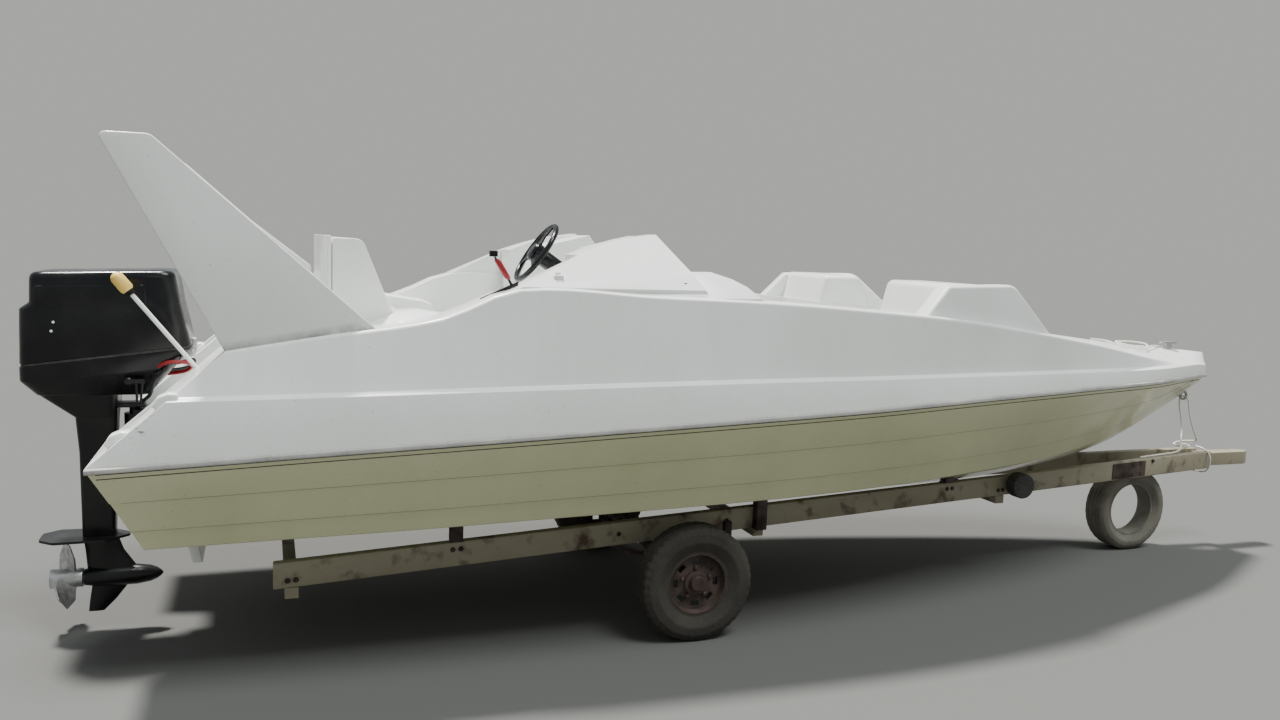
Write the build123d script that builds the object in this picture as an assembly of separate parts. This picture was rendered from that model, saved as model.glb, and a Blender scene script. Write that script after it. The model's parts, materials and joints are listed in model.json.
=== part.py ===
from build123d import *
import os
from math import atan2, cos, degrees, pi, radians, sin, tan

# Speedboat on its road trailer. Millimetres: X towards the bow from the aftmost point of the rub
# rail, Y to port, Z up from the ground. Everything is moved to the middle of the whole at the end.

# Hull and deck
STEM_X = 6900.0                              # rub rail, stern to stem
LAP = 12.0                                   # step between two hull strakes
LAP_SHARES = (0.40, 0.76)                    # places of the laps, as shares of the topside
SOLE_Z, BOW_SOLE_Z = 860.0, 960.0            # cockpit floors
SIDE_DECK = 210.0                            # deck edge to cockpit wall
RAIL_OUT, RAIL_HIGH = 20.0, 28.0             # rub rail
TUMBLE = 0.03                                # deck side's lean below its knuckle
STERN_Z = 1030.0                             # aftmost point of the rail
RAKE_FOOT = (305.0, 420.0)                   # lower end of the raked transom, X and Z
QUARTER_HEAD = (514.0, 1484.0)               # upper end of the raked quarter, X and Z
OPEN_TOP = 2600.0                            # cockpits are cut from their floors up to here
BEYOND = 1400.0                              # how far cutting shapes pass the boat
GRP = 30.0                                   # wall of a hollow moulding
SEAT_GAP = 1.0                               # between mouldings that stand side by side

# Stations of hull and deck from stern to stem
X, RAIL_B, RAIL_Z, KNUCKLE_Z, EDGE_B, EDGE_Z, MIDDLE_Z, CHINE_B, CHINE_Z, KEEL_Z = range(10)
STATIONS = (
    (0.0, 1075, 1020, 1288, 975, 1400, 1400, 900, 640, 415),
    (900.0, 1120, 1073, 1308, 1000, 1552, 1552, 930, 664, 430),
    (1400.0, 1132, 1098, 1320, 1016, 1634, 1634, 938, 675, 438),
    (1740.0, 1140, 1115, 1328, 1028, 1768, 1768, 940, 685, 444),
    (2400.0, 1146, 1148, 1341, 1048, 1747, 1747, 930, 700, 456),
    (3000.0, 1140, 1176, 1350, 1060, 1728, 1728, 905, 712, 468),
    (3600.0, 1100, 1200, 1352, 1045, 1691, 1691, 845, 725, 484),
    (4200.0, 1010, 1222, 1350, 985, 1641, 1641, 745, 742, 510),
    (STEM_X - 1700.0, 785, 1240, 1337, 745, 1505, 1530, 480, 778, 572),
    (STEM_X - 900.0, 525, 1238, 1322, 468, 1372, 1440, 240, 880, 728),
    (STEM_X - 300.0, 200, 1225, 1305, 162, 1296, 1392, 75, 1080, 1005),
    (STEM_X - 20.0, 40, 1212, 1285, 28, 1292, 1368, 16, 1185, 1168),
)
SPANS, BOW_CROWDING = 20, 1.25               # sections along the hull, closer together at the bow

# Motor well, transom board and cockpits
WELL_HALF, WELL_FLOOR_Z, WELL_END_X = 450.0, 960.0, 880.0
BOARD_THICK, BOARD_TOP_X, BOARD_TOP_Z = 45.0, 210.0, 1010.0
BOARD_FOOT_X, BOARD_FOOT_Z = 350.0, 440.0
COCKPIT_AFT_X, COCKPIT_FORE_X = 950.0, 3985.0
WALK_HALF = 340.0
BOW_WELL_AFT_X, BOW_WELL_FORE_X = 4412.0, STEM_X - 1570.0

# Fins, as (Z, aft X, fore X, thickness) inboard of their outer face
FIN_Y = 975.0
FIN_ROWS = ((1400.0, 559.0, 1329.0, 120.0), (2353.0, 50.0, 246.0, 62.0))

# Seats: the back's outline in X and Z, its arms on the cockpit sides and the bench between them
SEAT_HALF, SEAT_TOP_Z, SEAT_CORNER = 705.0, 1968.0, 60.0
SEAT_BACK = ((955, SOLE_Z), (955, SEAT_TOP_Z), (1062, SEAT_TOP_Z), (1100, 1935), (1204, 1669),
             (1300, 1612), (1330, 1250), (1330, SOLE_Z))
ARM_Y, ARM_X, ARM_TOP = (565.0, 860.0), (1150.0, 1640.0), (1640.0, 1585.0)
BENCH_AFT_X, BENCH_FORE_X, BENCH_Z = 1332.0, 1800.0, 1240.0
FORWARD_BENCH_AFT_X, FORWARD_BENCH_Z = 3560.0, 1240.0

# Dash: consoles, pods on them and fairings outside the pods, outlines in X and Z
CONSOLE_Y = (350.0, 640.0)
CONSOLE = ((2060, SOLE_Z), (2120, 1790), (2200, 1955), (2465, 2025), (2590, 1857), (2680, 1700),
           (2720, SOLE_Z))
POD_Y, POD_LOW_Z, POD_LEAN = (640.0, 1028.0), 1400.0, ((1040.0, 1765.0), (770.0, 2033.0))
POD = ((1740, 1770), (1911, 1853), (2060, 1928), (2180, 1972), (2300, 2007),
       (2465, 2033), (2590, 1857), (2680, 1700), (2680, POD_LOW_Z), (1740, POD_LOW_Z))
RAMP_Y, RAMP_END_X = 840.0, 2050.0           # aft of here the pod is a ramp on the side deck
FAIRING_Y, FAIRING_LEAN = (900.0, 1042.0), ((1042.0, 1742.0), (945.0, 1862.0))
FAIRING = ((1745, 1766), (2590, 1860), (2690, 1862), (2790, 1832), (2860, 1797), (2940, 1725),
           (2000, 1700))

# Bow blocks, and wings whose outer faces stand on a line in plan
BLOCK_Y = (345.0, 905.0)
BLOCK = ((COCKPIT_FORE_X, 1600), (4050, 1832), (4295, 1832), (BOW_WELL_AFT_X, 1600))
WING_THICK, WING_AFT, WING_FORE = 105.0, (3880.0, 1008.0), (4840.0, 828.0)
WING = ((-30, 1620), (170, 1822), (470, 1830), (580, 1805), (670, 1745), (1060, 1480), (-30, 1480))

# Outboard motor: tilt tube, kingpin and their bearings
TILT_X, TILT_Z, TILT_TUBE_R, TILT_TUBE_HALF = 170.0, 1085.0, 16.0, 130.0
STEER_X, KINGPIN_R, KINGPIN_LOW, KINGPIN_HIGH = 70.0, 25.0, 740.0, 1130.0
SWIVEL_R, SWIVEL_LOW, SWIVEL_HIGH = 48.0, 780.0, 1082.0
PIVOT_GAP = 0.05                             # radial clearance of a shaft in its bore
SWIVEL_LUG = (14.0, 30.0, 20.0)              # ahead of the tilt tube, below and above its middle
EAR_Y, EAR_HALF, EAR_TOP, EAR_LOW, EAR_GAP = (90.0, 125.0), 34.0, 20.0, 780.0, 10.0
HOOK_LOW, HOOK_OVER, HOOK_THICK = 900.0, 4.0, 36.0
YOKE_AFT_X, YOKE_ARM, YOKE_LOW_GAP, YOKE_HIGH_GAP = -140.0, 22.0, 8.0, 28.0

# Cowl, pan and leg sections: aft X and Z, fore X and Z, half breadth, corner
COWL_WALL, SEAM = 9.0, (-392, 1330, 340, 1418)
COWL_ROWS = (
    (*SEAM, 212, 46),
    (-388, 1600, 300, 1600, 210, 46),
    (-345, 1626, 294, 1626, 208, 46),
    (-340, 1735, 264, 1748, 200, 52),
    (-300, 1768, 225, 1785, 166, 60),
)
PAN_ROWS = ((-330, 1190, 150, 1190, 150, 40), (-392, 1262, 262, 1322, 204, 46), (*SEAM, 214, 46))
LEG_ROWS = ((-330, 1190, 10, 1190, 130, 40), (-184, 1072, -2, 1072, 80, 30), (-172, 900, -10, 900, 62, 24),
            (-168, 482, -22, 482, 44, 18))
POWERHEAD_X, POWERHEAD_HALF, POWERHEAD_TOP = (-280.0, 190.0), 150.0, 1680.0

# Gearcase about the propeller shaft: body as X and radius, strut, skeg and plate
PROP_Z = 270.0
TORPEDO = ((-166, 0), (-166, 40), (-80, 50), (70, 50), (130, 40), (172, 20), (186, 0))
STRUT_HALF, STRUT_LOW_X, STRUT_TOP_X = 24.0, (-150.0, 96.0), (-168.0, -18.0)
SKEG_HALF, SKEG_TOP_X, SKEG_FOOT_X, SKEG_FOOT_Z = 7.0, (-128.0, 62.0), (-152.0, -88.0), 95.0
PLATE_Z, PLATE_THICK, PLATE_HALF = 470.0, 12.0, ((-352, 60), (-284, 122), (-60, 112), (40, 20))
PROP_HUB_R, PROP_HUB_X, PROP_SHAFT_R, PROP_SHAFT_FORE = 46.0, (-315.0, -172.0), 12.0, -80.0
# Propeller blades: radius, chord, thickness and pitch angle of each section
BLADES, BLADE_X = 3, -240.0
BLADE_ROWS = ((38.0, 88.0, 12.0, 58.0), (105.0, 124.0, 9.0, 38.0), (170.0, 70.0, 5.0, 26.0))

# Helm and throttle
HELM_X, HELM_Y, HELM_Z, HELM_LEAN = 1950.0, -450.0, 1923.0, 34.0
HELM_R, HELM_GRIP_R, GRIP_SIDES, HELM_HUB_R = 175.0, 14.0, 8, 36.0
SPOKES, SPOKE_WIDE, SPOKE_THICK = 3, 34.0, 8.0
COLUMN_R, BOSS_R, BOSS_GAP, BOSS_LONG = 12.0, 42.0, 40.0, 290.0
THROTTLE_Y, THROTTLE_THICK, THROTTLE_RISE = -898.0, 24.0, 16.0
THROTTLE_BASE = ((1585.0, 1701.0), (1757.0, 1779.0))  # ends of its foot, X and Z
LEVER = ((1728.0, 1765.0), (1648.0, 1908.0))          # lever's foot and head, X and Z

# Fittings
LIGHT_ROOT, LIGHT_HEAD, LIGHT_R = (400, -500, 1333), (106, -500, 1704), 10.0
LENS_R, LENS_LONG = 30.0, 95.0
EYE_X, EYE_Z, EYE_R, EYE_HOLE_R, EYE_THICK, EYE_SIDES = STEM_X - 160.0, 1062.0, 33.0, 21.0, 14.0, 12
CLEAT_X, CLEAT_Z, CLEAT_HALF = STEM_X - 340.0, 1426.0, 11.0
CLEAT = ((25, 0), (75, 5), (75, 10), (50, 15))        # half outline over its foot, X and Z

# Trailer frame: ends of the side rails' middle lines
RAIL_REAR, RAIL_FRONT = (700.0, 720.0, 440.0), (STEM_X + 50.0, 62.0, 612.0)
BEAM_H, BEAM_W = 120.0, 55.0
CROSSBAR_XS, CROSSBAR_WIDE, CROSSBAR_HIGH = (780.0, 3240.0, STEM_X - 1900.0), 60.0, 50.0
POST_XS, POST_WIDE, POST_REACH = (1540.0, 3230.0, 4590.0), 60.0, 250.0
ROLLER_X, ROLLER_Z, ROLLER_R, ROLLER_Y = STEM_X - 1815.0, 578.0, 78.0, (330.0, 410.0)
COUPLER_X, COUPLER_Z, COUPLER_HALF, COUPLER_HIGH = (STEM_X, STEM_X + 460.0), 562.0, 50.0, 90.0
BALL_R, BALL_BACK, SOCKET_DEEP = 25.4, 60.0, 75.0

# Running gear
AXLE_X, AXLE_Z, AXLE_R = 2715.0, 296.0, 30.0
WHEEL_Y, SPINDLE_R, STUB_LONG = 830.0, 17.0, 90.0
TYRE_R, TYRE_WIDTH, BEAD_R, TYRE_SIDES = 296.0, 165.0, 164.0, 48
# Half section of a tyre: share of the half width, share of the height above the bead
TYRE_SECTION = ((0.70, 0.0), (1.0, 0.42), (0.96, 0.74), (0.74, 1.0))
HUB_R, HUB_HALF, RIM_LIP, DISC_Y, DISC_R = 62.0, 38.0, 7.0, (16.0, 24.0), 140.0
VENTS, VENT_R, VENT_SIZE = 8, 108.0, (26.0, 42.0)
JOCKEY_X, JOCKEY_R, JOCKEY_WIDTH, JOCKEY_BEAD_R = STEM_X - 600.0, 284.0, 172.0, 180.0
# Springs: leaves as shares of the half span, from the axle up
SPRING_HALF, SPRING_RISE, SPRING_WIDE, HANGER = 340.0, 62.0, 50.0, 40.0
LEAF_SHARES, LEAF_THICK, LEAF_PITCH = (0.45, 0.72, 1.0), 10.0, 8.0

# Ropes, as points along their middle, laid by hand
ROPE_R, ARC_SHARE = 6.0, 0.45
BOW_LINE = ((6918, 15, 692), (6912, -122, 694), (6905, -124, 528), (6898, 0, 520), (6890, 124, 528),
            (6882, 122, 694), (6862, 24, 700), (6800, -42, 696), (6738, 12, 700), (6770, 84, 706),
            (6852, 72, 722), (6872, -12, 736), (6826, -74, 752), (6786, -62, 842), (6758, -50, 940),
            (6747, -40, 1056), (6747, 40, 1056), (6772, 52, 962), (6812, 62, 872), (6818, 56, 786),
            (6772, 14, 738), (6708, -50, 716), (6640, -104, 684), (6520, -104, 674), (6390, -126, 672),
            (6262, -134, 664))
DECK_ROPE = ((6590, 20, 1395), (6510, 21, 1405), (6430, -24, 1414), (6330, -66, 1417),
             (6230, -130, 1412), (6110, -110, 1424), (6070, -20, 1441), (6150, 40, 1440),
             (6260, 10, 1440), (6290, -90, 1434), (6200, -176, 1408), (6080, -180, 1412),
             (5990, -110, 1434), (6010, -10, 1452), (5930, 50, 1454))


def polygon(points):
    return Face(Wire.make_polygon([Vector(*p) for p in points]))


def side_prism(outline, y_from, y_to):
    """Outline in X and Z, extruded across."""
    return extrude(polygon([(x, y_from, z) for x, z in outline]), amount=y_to - y_from, dir=(0, 1, 0))


def plan_prism(outline, z_from, z_to):
    """Outline in X and Y, extruded up."""
    return extrude(polygon([(x, y, z_from) for x, y in outline]), amount=z_to - z_from, dir=(0, 0, 1))


def front_prism(outline, x_from, x_to):
    """Outline in Y and Z, extruded forwards."""
    return extrude(polygon([(x_from, y, z) for y, z in outline]), amount=x_to - x_from, dir=(1, 0, 0))


def block(x, y, z):
    """Box between three pairs of limits."""
    size = [high - low for low, high in (x, y, z)]
    return Pos((x[0] + x[1]) / 2, (y[0] + y[1]) / 2, (z[0] + z[1]) / 2) * Box(*size)


def rod(start, end, radius):
    start, end = Vector(*start), Vector(*end)
    return Solid.make_cylinder(radius, (end - start).length, Plane(start, z_dir=end - start))


def cross_rod(x, z, half, radius):
    return rod((x, -half, z), (x, half, z), radius)


def starboard(shape):
    return mirror(shape, about=Plane.XZ)


def both_sides(shape):
    return shape + starboard(shape)


def hollow_prism(outline, y_from, y_to):
    """Moulding from an outline in X and Z, GRP thick and open below."""
    inner_face = offset(polygon([(x, y_from + GRP, z) for x, z in outline]), amount=-GRP,
                        kind=Kind.INTERSECTION)
    inside = extrude(inner_face, amount=y_to - y_from - 2 * GRP, dir=(0, 1, 0))
    return side_prism(outline, y_from, y_to) - inside - Pos(0, 0, -GRP - 1) * inside


def turned(rows, sides, centre):
    """Body of flats about a line along Y, from rows of place and radius; the flats touch the radius."""
    x, y, z = centre
    rings = []
    for place, radius in rows:
        reach = radius / cos(pi / sides)
        turns = [2 * pi * (i + 0.5) / sides - pi / 2 for i in range(sides)]
        rings.append(polygon([(x + reach * cos(turn), y + place, z + reach * sin(turn)) for turn in turns]))
    return loft(rings, ruled=True)


def outside_of(line, x_from, x_to):
    """Everything outboard of a leaning line in Y and Z, above its lower end."""
    (y_low, z_low), (y_high, z_high) = line
    slope = (y_high - y_low) / (z_high - z_low)
    top = z_high + GRP
    outline = [(y_low, z_low), (y_low + slope * (top - z_low), top), (BEYOND, top), (BEYOND, z_low)]
    return front_prism(outline, x_from, x_to)


def fair(x, column):
    """Fair curve through a station column: cubic between rows, slopes from the neighbouring rows."""
    last = len(STATIONS) - 1
    low = max(i for i in range(last) if x >= STATIONS[i][X] or i == 0)
    slopes = []
    for i in (low, low + 1):
        before, after = STATIONS[max(i - 1, 0)], STATIONS[min(i + 1, last)]
        slopes.append((after[column] - before[column]) / (after[X] - before[X]))
    (x0, y0), (x1, y1) = ((STATIONS[i][X], STATIONS[i][column]) for i in (low, low + 1))
    span, t = x1 - x0, (x - x0) / (x1 - x0)
    return (y0 * (1 + 2 * t) * (1 - t) ** 2 + y1 * t * t * (3 - 2 * t)
            + span * (slopes[0] * t * (1 - t) ** 2 + slopes[1] * t * t * (t - 1)))


def mirrored_section(x, half, low=None, high=None):
    """Closed section at x from one half, and the heights where it meets the middle plane, if any."""
    lowest = [(x, 0, low)] if low is not None else []
    highest = [(x, 0, high)] if high is not None else []
    return polygon(lowest + [(x, y, z) for y, z in half] + highest + [(x, -y, z) for y, z in reversed(half)])


def hull_section(x):
    b, s, c, zc = (fair(x, column) for column in (RAIL_B, RAIL_Z, CHINE_B, CHINE_Z))
    lap = LAP * min(1.0, b / STATIONS[0][CHINE_B])
    half = [(c, zc)]
    for share in reversed(LAP_SHARES):
        y, z = b - share * (b - c), s - share * (s - zc)
        half += [(y - lap, z), (y, z)]
    return mirrored_section(x, half + [(b, s)], low=fair(x, KEEL_Z))


def deck_section(x):
    b, s, knuckle, edge, edge_z = (fair(x, column) for column in (RAIL_B, RAIL_Z, KNUCKLE_Z, EDGE_B, EDGE_Z))
    return mirrored_section(x, [(b, s), (b * (1 - TUMBLE), knuckle), (edge, edge_z)], high=fair(x, MIDDLE_Z))


def rail_section(x):
    b, s = fair(x, RAIL_B), fair(x, RAIL_Z)
    return polygon([(x, b, s - RAIL_HIGH / 2), (x, b + RAIL_OUT, s - RAIL_HIGH / 3),
                    (x, b + RAIL_OUT, s + RAIL_HIGH / 3), (x, b, s + RAIL_HIGH / 2)])


def cockpit_plan(x_from, x_to):
    """Closed outline in plan, inset from the deck edge."""
    xs = [x_from] + [row[X] for row in STATIONS if x_from < row[X] < x_to] + [x_to]
    half = [(x, fair(x, EDGE_B) - SIDE_DECK) for x in xs]
    return half + [(x, -y) for x, y in reversed(half)]


nodes = {}

# Hull and deck, with the wells and cockpits cut through both
rake_outline = [(-BEYOND, STERN_Z), (0, STERN_Z), RAKE_FOOT, (RAKE_FOOT[0], 0), (-BEYOND, 0)]
quarter_x = QUARTER_HEAD[0] / (QUARTER_HEAD[1] - STERN_Z) * (OPEN_TOP - STERN_Z)
quarter_outline = [(-BEYOND, STERN_Z), (0, STERN_Z), (quarter_x, OPEN_TOP), (-BEYOND, OPEN_TOP)]
board_front = [(BOARD_TOP_X + BOARD_THICK, BOARD_TOP_Z), (BOARD_FOOT_X + BOARD_THICK, BOARD_FOOT_Z)]
notch_outline = ([(-BEYOND, OPEN_TOP), (board_front[0][0], OPEN_TOP)] + board_front
                 + [(board_front[1][0], 0), (-BEYOND, 0)])
spaces = [
    side_prism(notch_outline, -WELL_HALF, WELL_HALF),
    block((BOARD_TOP_X, WELL_END_X), (-WELL_HALF, WELL_HALF), (WELL_FLOOR_Z, OPEN_TOP)),
    plan_prism(cockpit_plan(COCKPIT_AFT_X, COCKPIT_FORE_X), SOLE_Z, OPEN_TOP),
    block((COCKPIT_FORE_X - GRP, BOW_WELL_AFT_X + GRP), (-WALK_HALF, WALK_HALF), (BOW_SOLE_Z, OPEN_TOP)),
    plan_prism(cockpit_plan(BOW_WELL_AFT_X, BOW_WELL_FORE_X), BOW_SOLE_Z, OPEN_TOP),
]
section_xs = [STATIONS[-1][X] * (1 - (1 - i / SPANS) ** BOW_CROWDING) for i in range(SPANS + 1)]
hull = loft([hull_section(x) for x in section_xs], ruled=True) - side_prism(rake_outline, -BEYOND, BEYOND)
deck = loft([deck_section(x) for x in section_xs], ruled=True) - side_prism(quarter_outline, -BEYOND, BEYOND)
for space in spaces:
    hull = hull - space
    deck = deck - space
nodes["hull"] = hull
nodes["deck"] = deck
nodes["rub_rail"] = both_sides(loft([rail_section(x) for x in section_xs], ruled=True))
board = [(BOARD_TOP_X, BOARD_TOP_Z)] + board_front + [(BOARD_FOOT_X, BOARD_FOOT_Z)]
nodes["transom_board"] = side_prism(board, -WELL_HALF, WELL_HALF)

# Mouldings that stand on the deck, in pairs
fin = loft([polygon([(aft, FIN_Y, z), (fore, FIN_Y, z), (fore, FIN_Y - thick, z), (aft, FIN_Y - thick, z)])
            for z, aft, fore, thick in FIN_ROWS], ruled=True) - deck
console = hollow_prism(CONSOLE, *CONSOLE_Y)
pod_ends = (POD[0][0] - GRP, FAIRING[5][0] + GRP)
beside_ramp = block((pod_ends[0], RAMP_END_X), (0, RAMP_Y), (SOLE_Z, OPEN_TOP))
pod = side_prism(POD, *POD_Y) - outside_of(POD_LEAN, *pod_ends) - beside_ramp - deck
fairing = side_prism(FAIRING, *FAIRING_Y) - outside_of(FAIRING_LEAN, *pod_ends) - deck - pod
bow_block = side_prism(BLOCK, *BLOCK_Y) - deck - hull
wing_turn = degrees(atan2(WING_FORE[1] - WING_AFT[1], WING_FORE[0] - WING_AFT[0]))
wing = Pos(*WING_AFT, 0) * Rot(0, 0, wing_turn) * side_prism(WING, -WING_THICK, 0) - deck - bow_block
pairs = {"fin": fin, "console": console, "pod": pod + fairing, "bow_block": bow_block, "bow_wing": wing}
for name, shape in pairs.items():
    nodes[name + "_port"], nodes[name + "_starboard"] = shape, starboard(shape)

# Seats
seat_front = [(-SEAT_HALF, SOLE_Z), (-SEAT_HALF, SEAT_TOP_Z - SEAT_CORNER),
              (SEAT_CORNER - SEAT_HALF, SEAT_TOP_Z)]
seat_front += [(-y, z) for y, z in reversed(seat_front)]
seat_back = hollow_prism(SEAT_BACK, -SEAT_HALF, SEAT_HALF) & front_prism(seat_front, COCKPIT_AFT_X,
                                                                         BENCH_AFT_X)
arm_outline = ((ARM_X[0], SOLE_Z), (ARM_X[0], ARM_TOP[0]), (ARM_X[1], ARM_TOP[1]), (ARM_X[1], SOLE_Z))
arm = hollow_prism(arm_outline, *ARM_Y) - deck - hull - side_prism(SEAT_BACK, -SEAT_HALF, SEAT_HALF)
nodes["rear_seat_back"] = seat_back + both_sides(arm)
bench_half = ARM_Y[0] - SEAT_GAP
bench = ((BENCH_AFT_X, SOLE_Z), (BENCH_AFT_X, BENCH_Z), (BENCH_FORE_X, BENCH_Z), (BENCH_FORE_X, SOLE_Z))
nodes["rear_bench"] = hollow_prism(bench, -bench_half, bench_half)
forward_bench_y = (WALK_HALF, fair(COCKPIT_FORE_X, EDGE_B) - SIDE_DECK - SEAT_GAP)
nodes["forward_benches"] = both_sides(block((FORWARD_BENCH_AFT_X, COCKPIT_FORE_X - SEAT_GAP), forward_bench_y,
                                            (SOLE_Z, FORWARD_BENCH_Z)))

# Helm: boss on the console, column and wheel
helm_plane = Plane((HELM_X, HELM_Y, HELM_Z), x_dir=(0, 1, 0), z_dir=Vector(1, 0, 0).rotate(Axis.Y, HELM_LEAN))
from_low = (Align.CENTER, Align.CENTER, Align.MIN)
boss = Cylinder(BOSS_R, BOSS_LONG, align=from_low) - Cylinder(COLUMN_R + PIVOT_GAP, 2 * BOSS_LONG)
nodes["steering_boss"] = helm_plane * Pos(0, 0, BOSS_GAP) * boss - starboard(side_prism(CONSOLE, *CONSOLE_Y))
column = Cylinder(COLUMN_R, BOSS_GAP + BOSS_LONG / 2, align=from_low)
hub = Pos(0, 0, -HELM_GRIP_R) * Cylinder(HELM_HUB_R, BOSS_GAP)
grip_middle = HELM_R - HELM_GRIP_R
grip = revolve(Plane.XZ * Pos(grip_middle, 0) * RegularPolygon(HELM_GRIP_R, GRIP_SIDES), axis=Axis.Z)
spoke = Pos(grip_middle / 2, 0, -SPOKE_THICK) * Box(grip_middle, SPOKE_WIDE, SPOKE_THICK)
spokes = [Rot(0, 0, 90 + 360 * i / SPOKES) * spoke for i in range(SPOKES)]
nodes["steering_wheel"] = helm_plane * (hub + column + grip + spokes)

# Throttle on the starboard ramp
throttle_y = (THROTTLE_Y - THROTTLE_THICK / 2, THROTTLE_Y + THROTTLE_THICK / 2)
throttle_foot = side_prism(list(THROTTLE_BASE) + [(x, z + THROTTLE_RISE) for x, z in reversed(THROTTLE_BASE)],
                           *throttle_y)
(foot_x, foot_z), (head_x, head_z) = LEVER
lever_half = THROTTLE_THICK / 2
lever_outline = [(foot_x - lever_half, foot_z), (foot_x + lever_half, foot_z),
                 (head_x + lever_half, head_z), (head_x - lever_half, head_z)]
lever = side_prism(lever_outline, THROTTLE_Y - lever_half / 2, THROTTLE_Y + lever_half / 2)
lever_knob = block((head_x - THROTTLE_THICK, head_x + lever_half), throttle_y,
                   (head_z, head_z + THROTTLE_THICK))
nodes["throttle"] = throttle_foot + lever + lever_knob - starboard(pod) - deck

# Deck fittings
cleat_outline = list(CLEAT) + [(-x, z) for x, z in reversed(CLEAT)]
cleat_foot = block((-CLEAT[0][0], CLEAT[0][0]), (-CLEAT_HALF, CLEAT_HALF), (-2 * CLEAT[1][0], 0))
cleat = side_prism(cleat_outline, -CLEAT_HALF, CLEAT_HALF) + cleat_foot
nodes["bow_cleat"] = Pos(CLEAT_X, 0, CLEAT_Z) * cleat - deck - hull
eye_at = (EYE_X, 0, EYE_Z)
eye_ring = turned([(-EYE_THICK / 2, EYE_R), (EYE_THICK / 2, EYE_R)], EYE_SIDES, eye_at)
eye_hole = turned([(-EYE_THICK, EYE_HOLE_R), (EYE_THICK, EYE_HOLE_R)], EYE_SIDES, eye_at)
eye_shank = block((EYE_X - 3 * EYE_R, EYE_X - EYE_HOLE_R), (-EYE_THICK / 2, EYE_THICK / 2),
                  (EYE_Z - EYE_THICK / 2, EYE_Z + EYE_THICK / 2))
nodes["bow_eye"] = eye_ring + eye_shank - eye_hole - hull
light_root, light_head = Vector(*LIGHT_ROOT), Vector(*LIGHT_HEAD)
light_top = light_head + (light_head - light_root).normalized() * LENS_LONG
nodes["stern_light_pole"] = rod(light_root, light_head, LIGHT_R) - deck - hull
nodes["stern_light_lens"] = rod(light_head, light_top, LENS_R)


# Trailer frame
def beam_y(x):
    share = (x - RAIL_REAR[0]) / (RAIL_FRONT[0] - RAIL_REAR[0])
    return RAIL_REAR[1] + share * (RAIL_FRONT[1] - RAIL_REAR[1])


def beam_z(x):
    share = (x - RAIL_REAR[0]) / (RAIL_FRONT[0] - RAIL_REAR[0])
    return RAIL_REAR[2] + share * (RAIL_FRONT[2] - RAIL_REAR[2])


def beam_section(end):
    x, y, z = end
    return polygon([(x, y - BEAM_W / 2, z - BEAM_H / 2), (x, y + BEAM_W / 2, z - BEAM_H / 2),
                    (x, y + BEAM_W / 2, z + BEAM_H / 2), (x, y - BEAM_W / 2, z + BEAM_H / 2)])


side_rail = loft([beam_section(RAIL_REAR), beam_section(RAIL_FRONT)], ruled=True)
nodes["trailer_rail_port"] = side_rail
nodes["trailer_rail_starboard"] = starboard(side_rail)


def post(x, y, z_from):
    """Post from the frame up to the hull."""
    half = POST_WIDE / 2
    shape = block((x - half, x + half), (y - half, y + half), (z_from, beam_z(x) + POST_REACH))
    return shape - hull - side_rail


crossbars = []
for x in CROSSBAR_XS:
    half, top = beam_y(x) + BEAM_W / 2, beam_z(x) - BEAM_H / 2
    crossbars.append(block((x - CROSSBAR_WIDE / 2, x + CROSSBAR_WIDE / 2), (-half, half),
                           (top - CROSSBAR_HIGH, top)))
rest_half = beam_y(JOCKEY_X)
crossbars.append(block((JOCKEY_X - CROSSBAR_WIDE, JOCKEY_X + CROSSBAR_WIDE), (-rest_half, rest_half),
                       (2 * JOCKEY_R, beam_z(JOCKEY_X))))
nodes["trailer_crossbars"] = sum(crossbars[1:], crossbars[0]) - both_sides(side_rail)
nose_aft = COUPLER_X[1] - COUPLER_HALF
coupler_plan = [(COUPLER_X[0], -COUPLER_HALF), (nose_aft, -COUPLER_HALF), (COUPLER_X[1], -COUPLER_HALF / 2)]
coupler_plan += [(x, -y) for x, y in reversed(coupler_plan)]
socket = Pos(COUPLER_X[1] - BALL_BACK, 0, COUPLER_Z) * Cylinder(BALL_R, 2 * SOCKET_DEEP)
coupler = plan_prism(coupler_plan, COUPLER_Z, COUPLER_Z + COUPLER_HIGH)
nodes["coupler"] = coupler - both_sides(side_rail) - socket
rear_x, mid_x, fore_x = POST_XS
posts = [post(rear_x, beam_y(rear_x), beam_z(rear_x) + BEAM_H / 2),
         post(mid_x, beam_y(mid_x) + (BEAM_W + POST_WIDE) / 2, beam_z(mid_x) - BEAM_H / 2),
         post(fore_x, beam_y(fore_x), beam_z(fore_x) + BEAM_H / 2)]
nodes["hull_supports"] = both_sides(posts[0] + posts[1] + posts[2])
nodes["bow_rollers"] = both_sides(rod((ROLLER_X, ROLLER_Y[0], ROLLER_Z), (ROLLER_X, ROLLER_Y[1], ROLLER_Z),
                                      ROLLER_R))

# Axle, and leaf springs that hang from the side rails
nodes["axle"] = (cross_rod(AXLE_X, AXLE_Z, WHEEL_Y - STUB_LONG, AXLE_R)
                 + cross_rod(AXLE_X, AXLE_Z, WHEEL_Y + HUB_HALF, SPINDLE_R))


def leaf(reach, height):
    """One spring leaf, bowed up towards its ends, in X and Z."""
    low = [(AXLE_X + share * SPRING_HALF, AXLE_Z + AXLE_R + height + SPRING_RISE * share ** 2)
           for share in (-reach, -reach / 2, 0, reach / 2, reach)]
    return low + [(x, z + LEAF_THICK) for x, z in reversed(low)]


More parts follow.
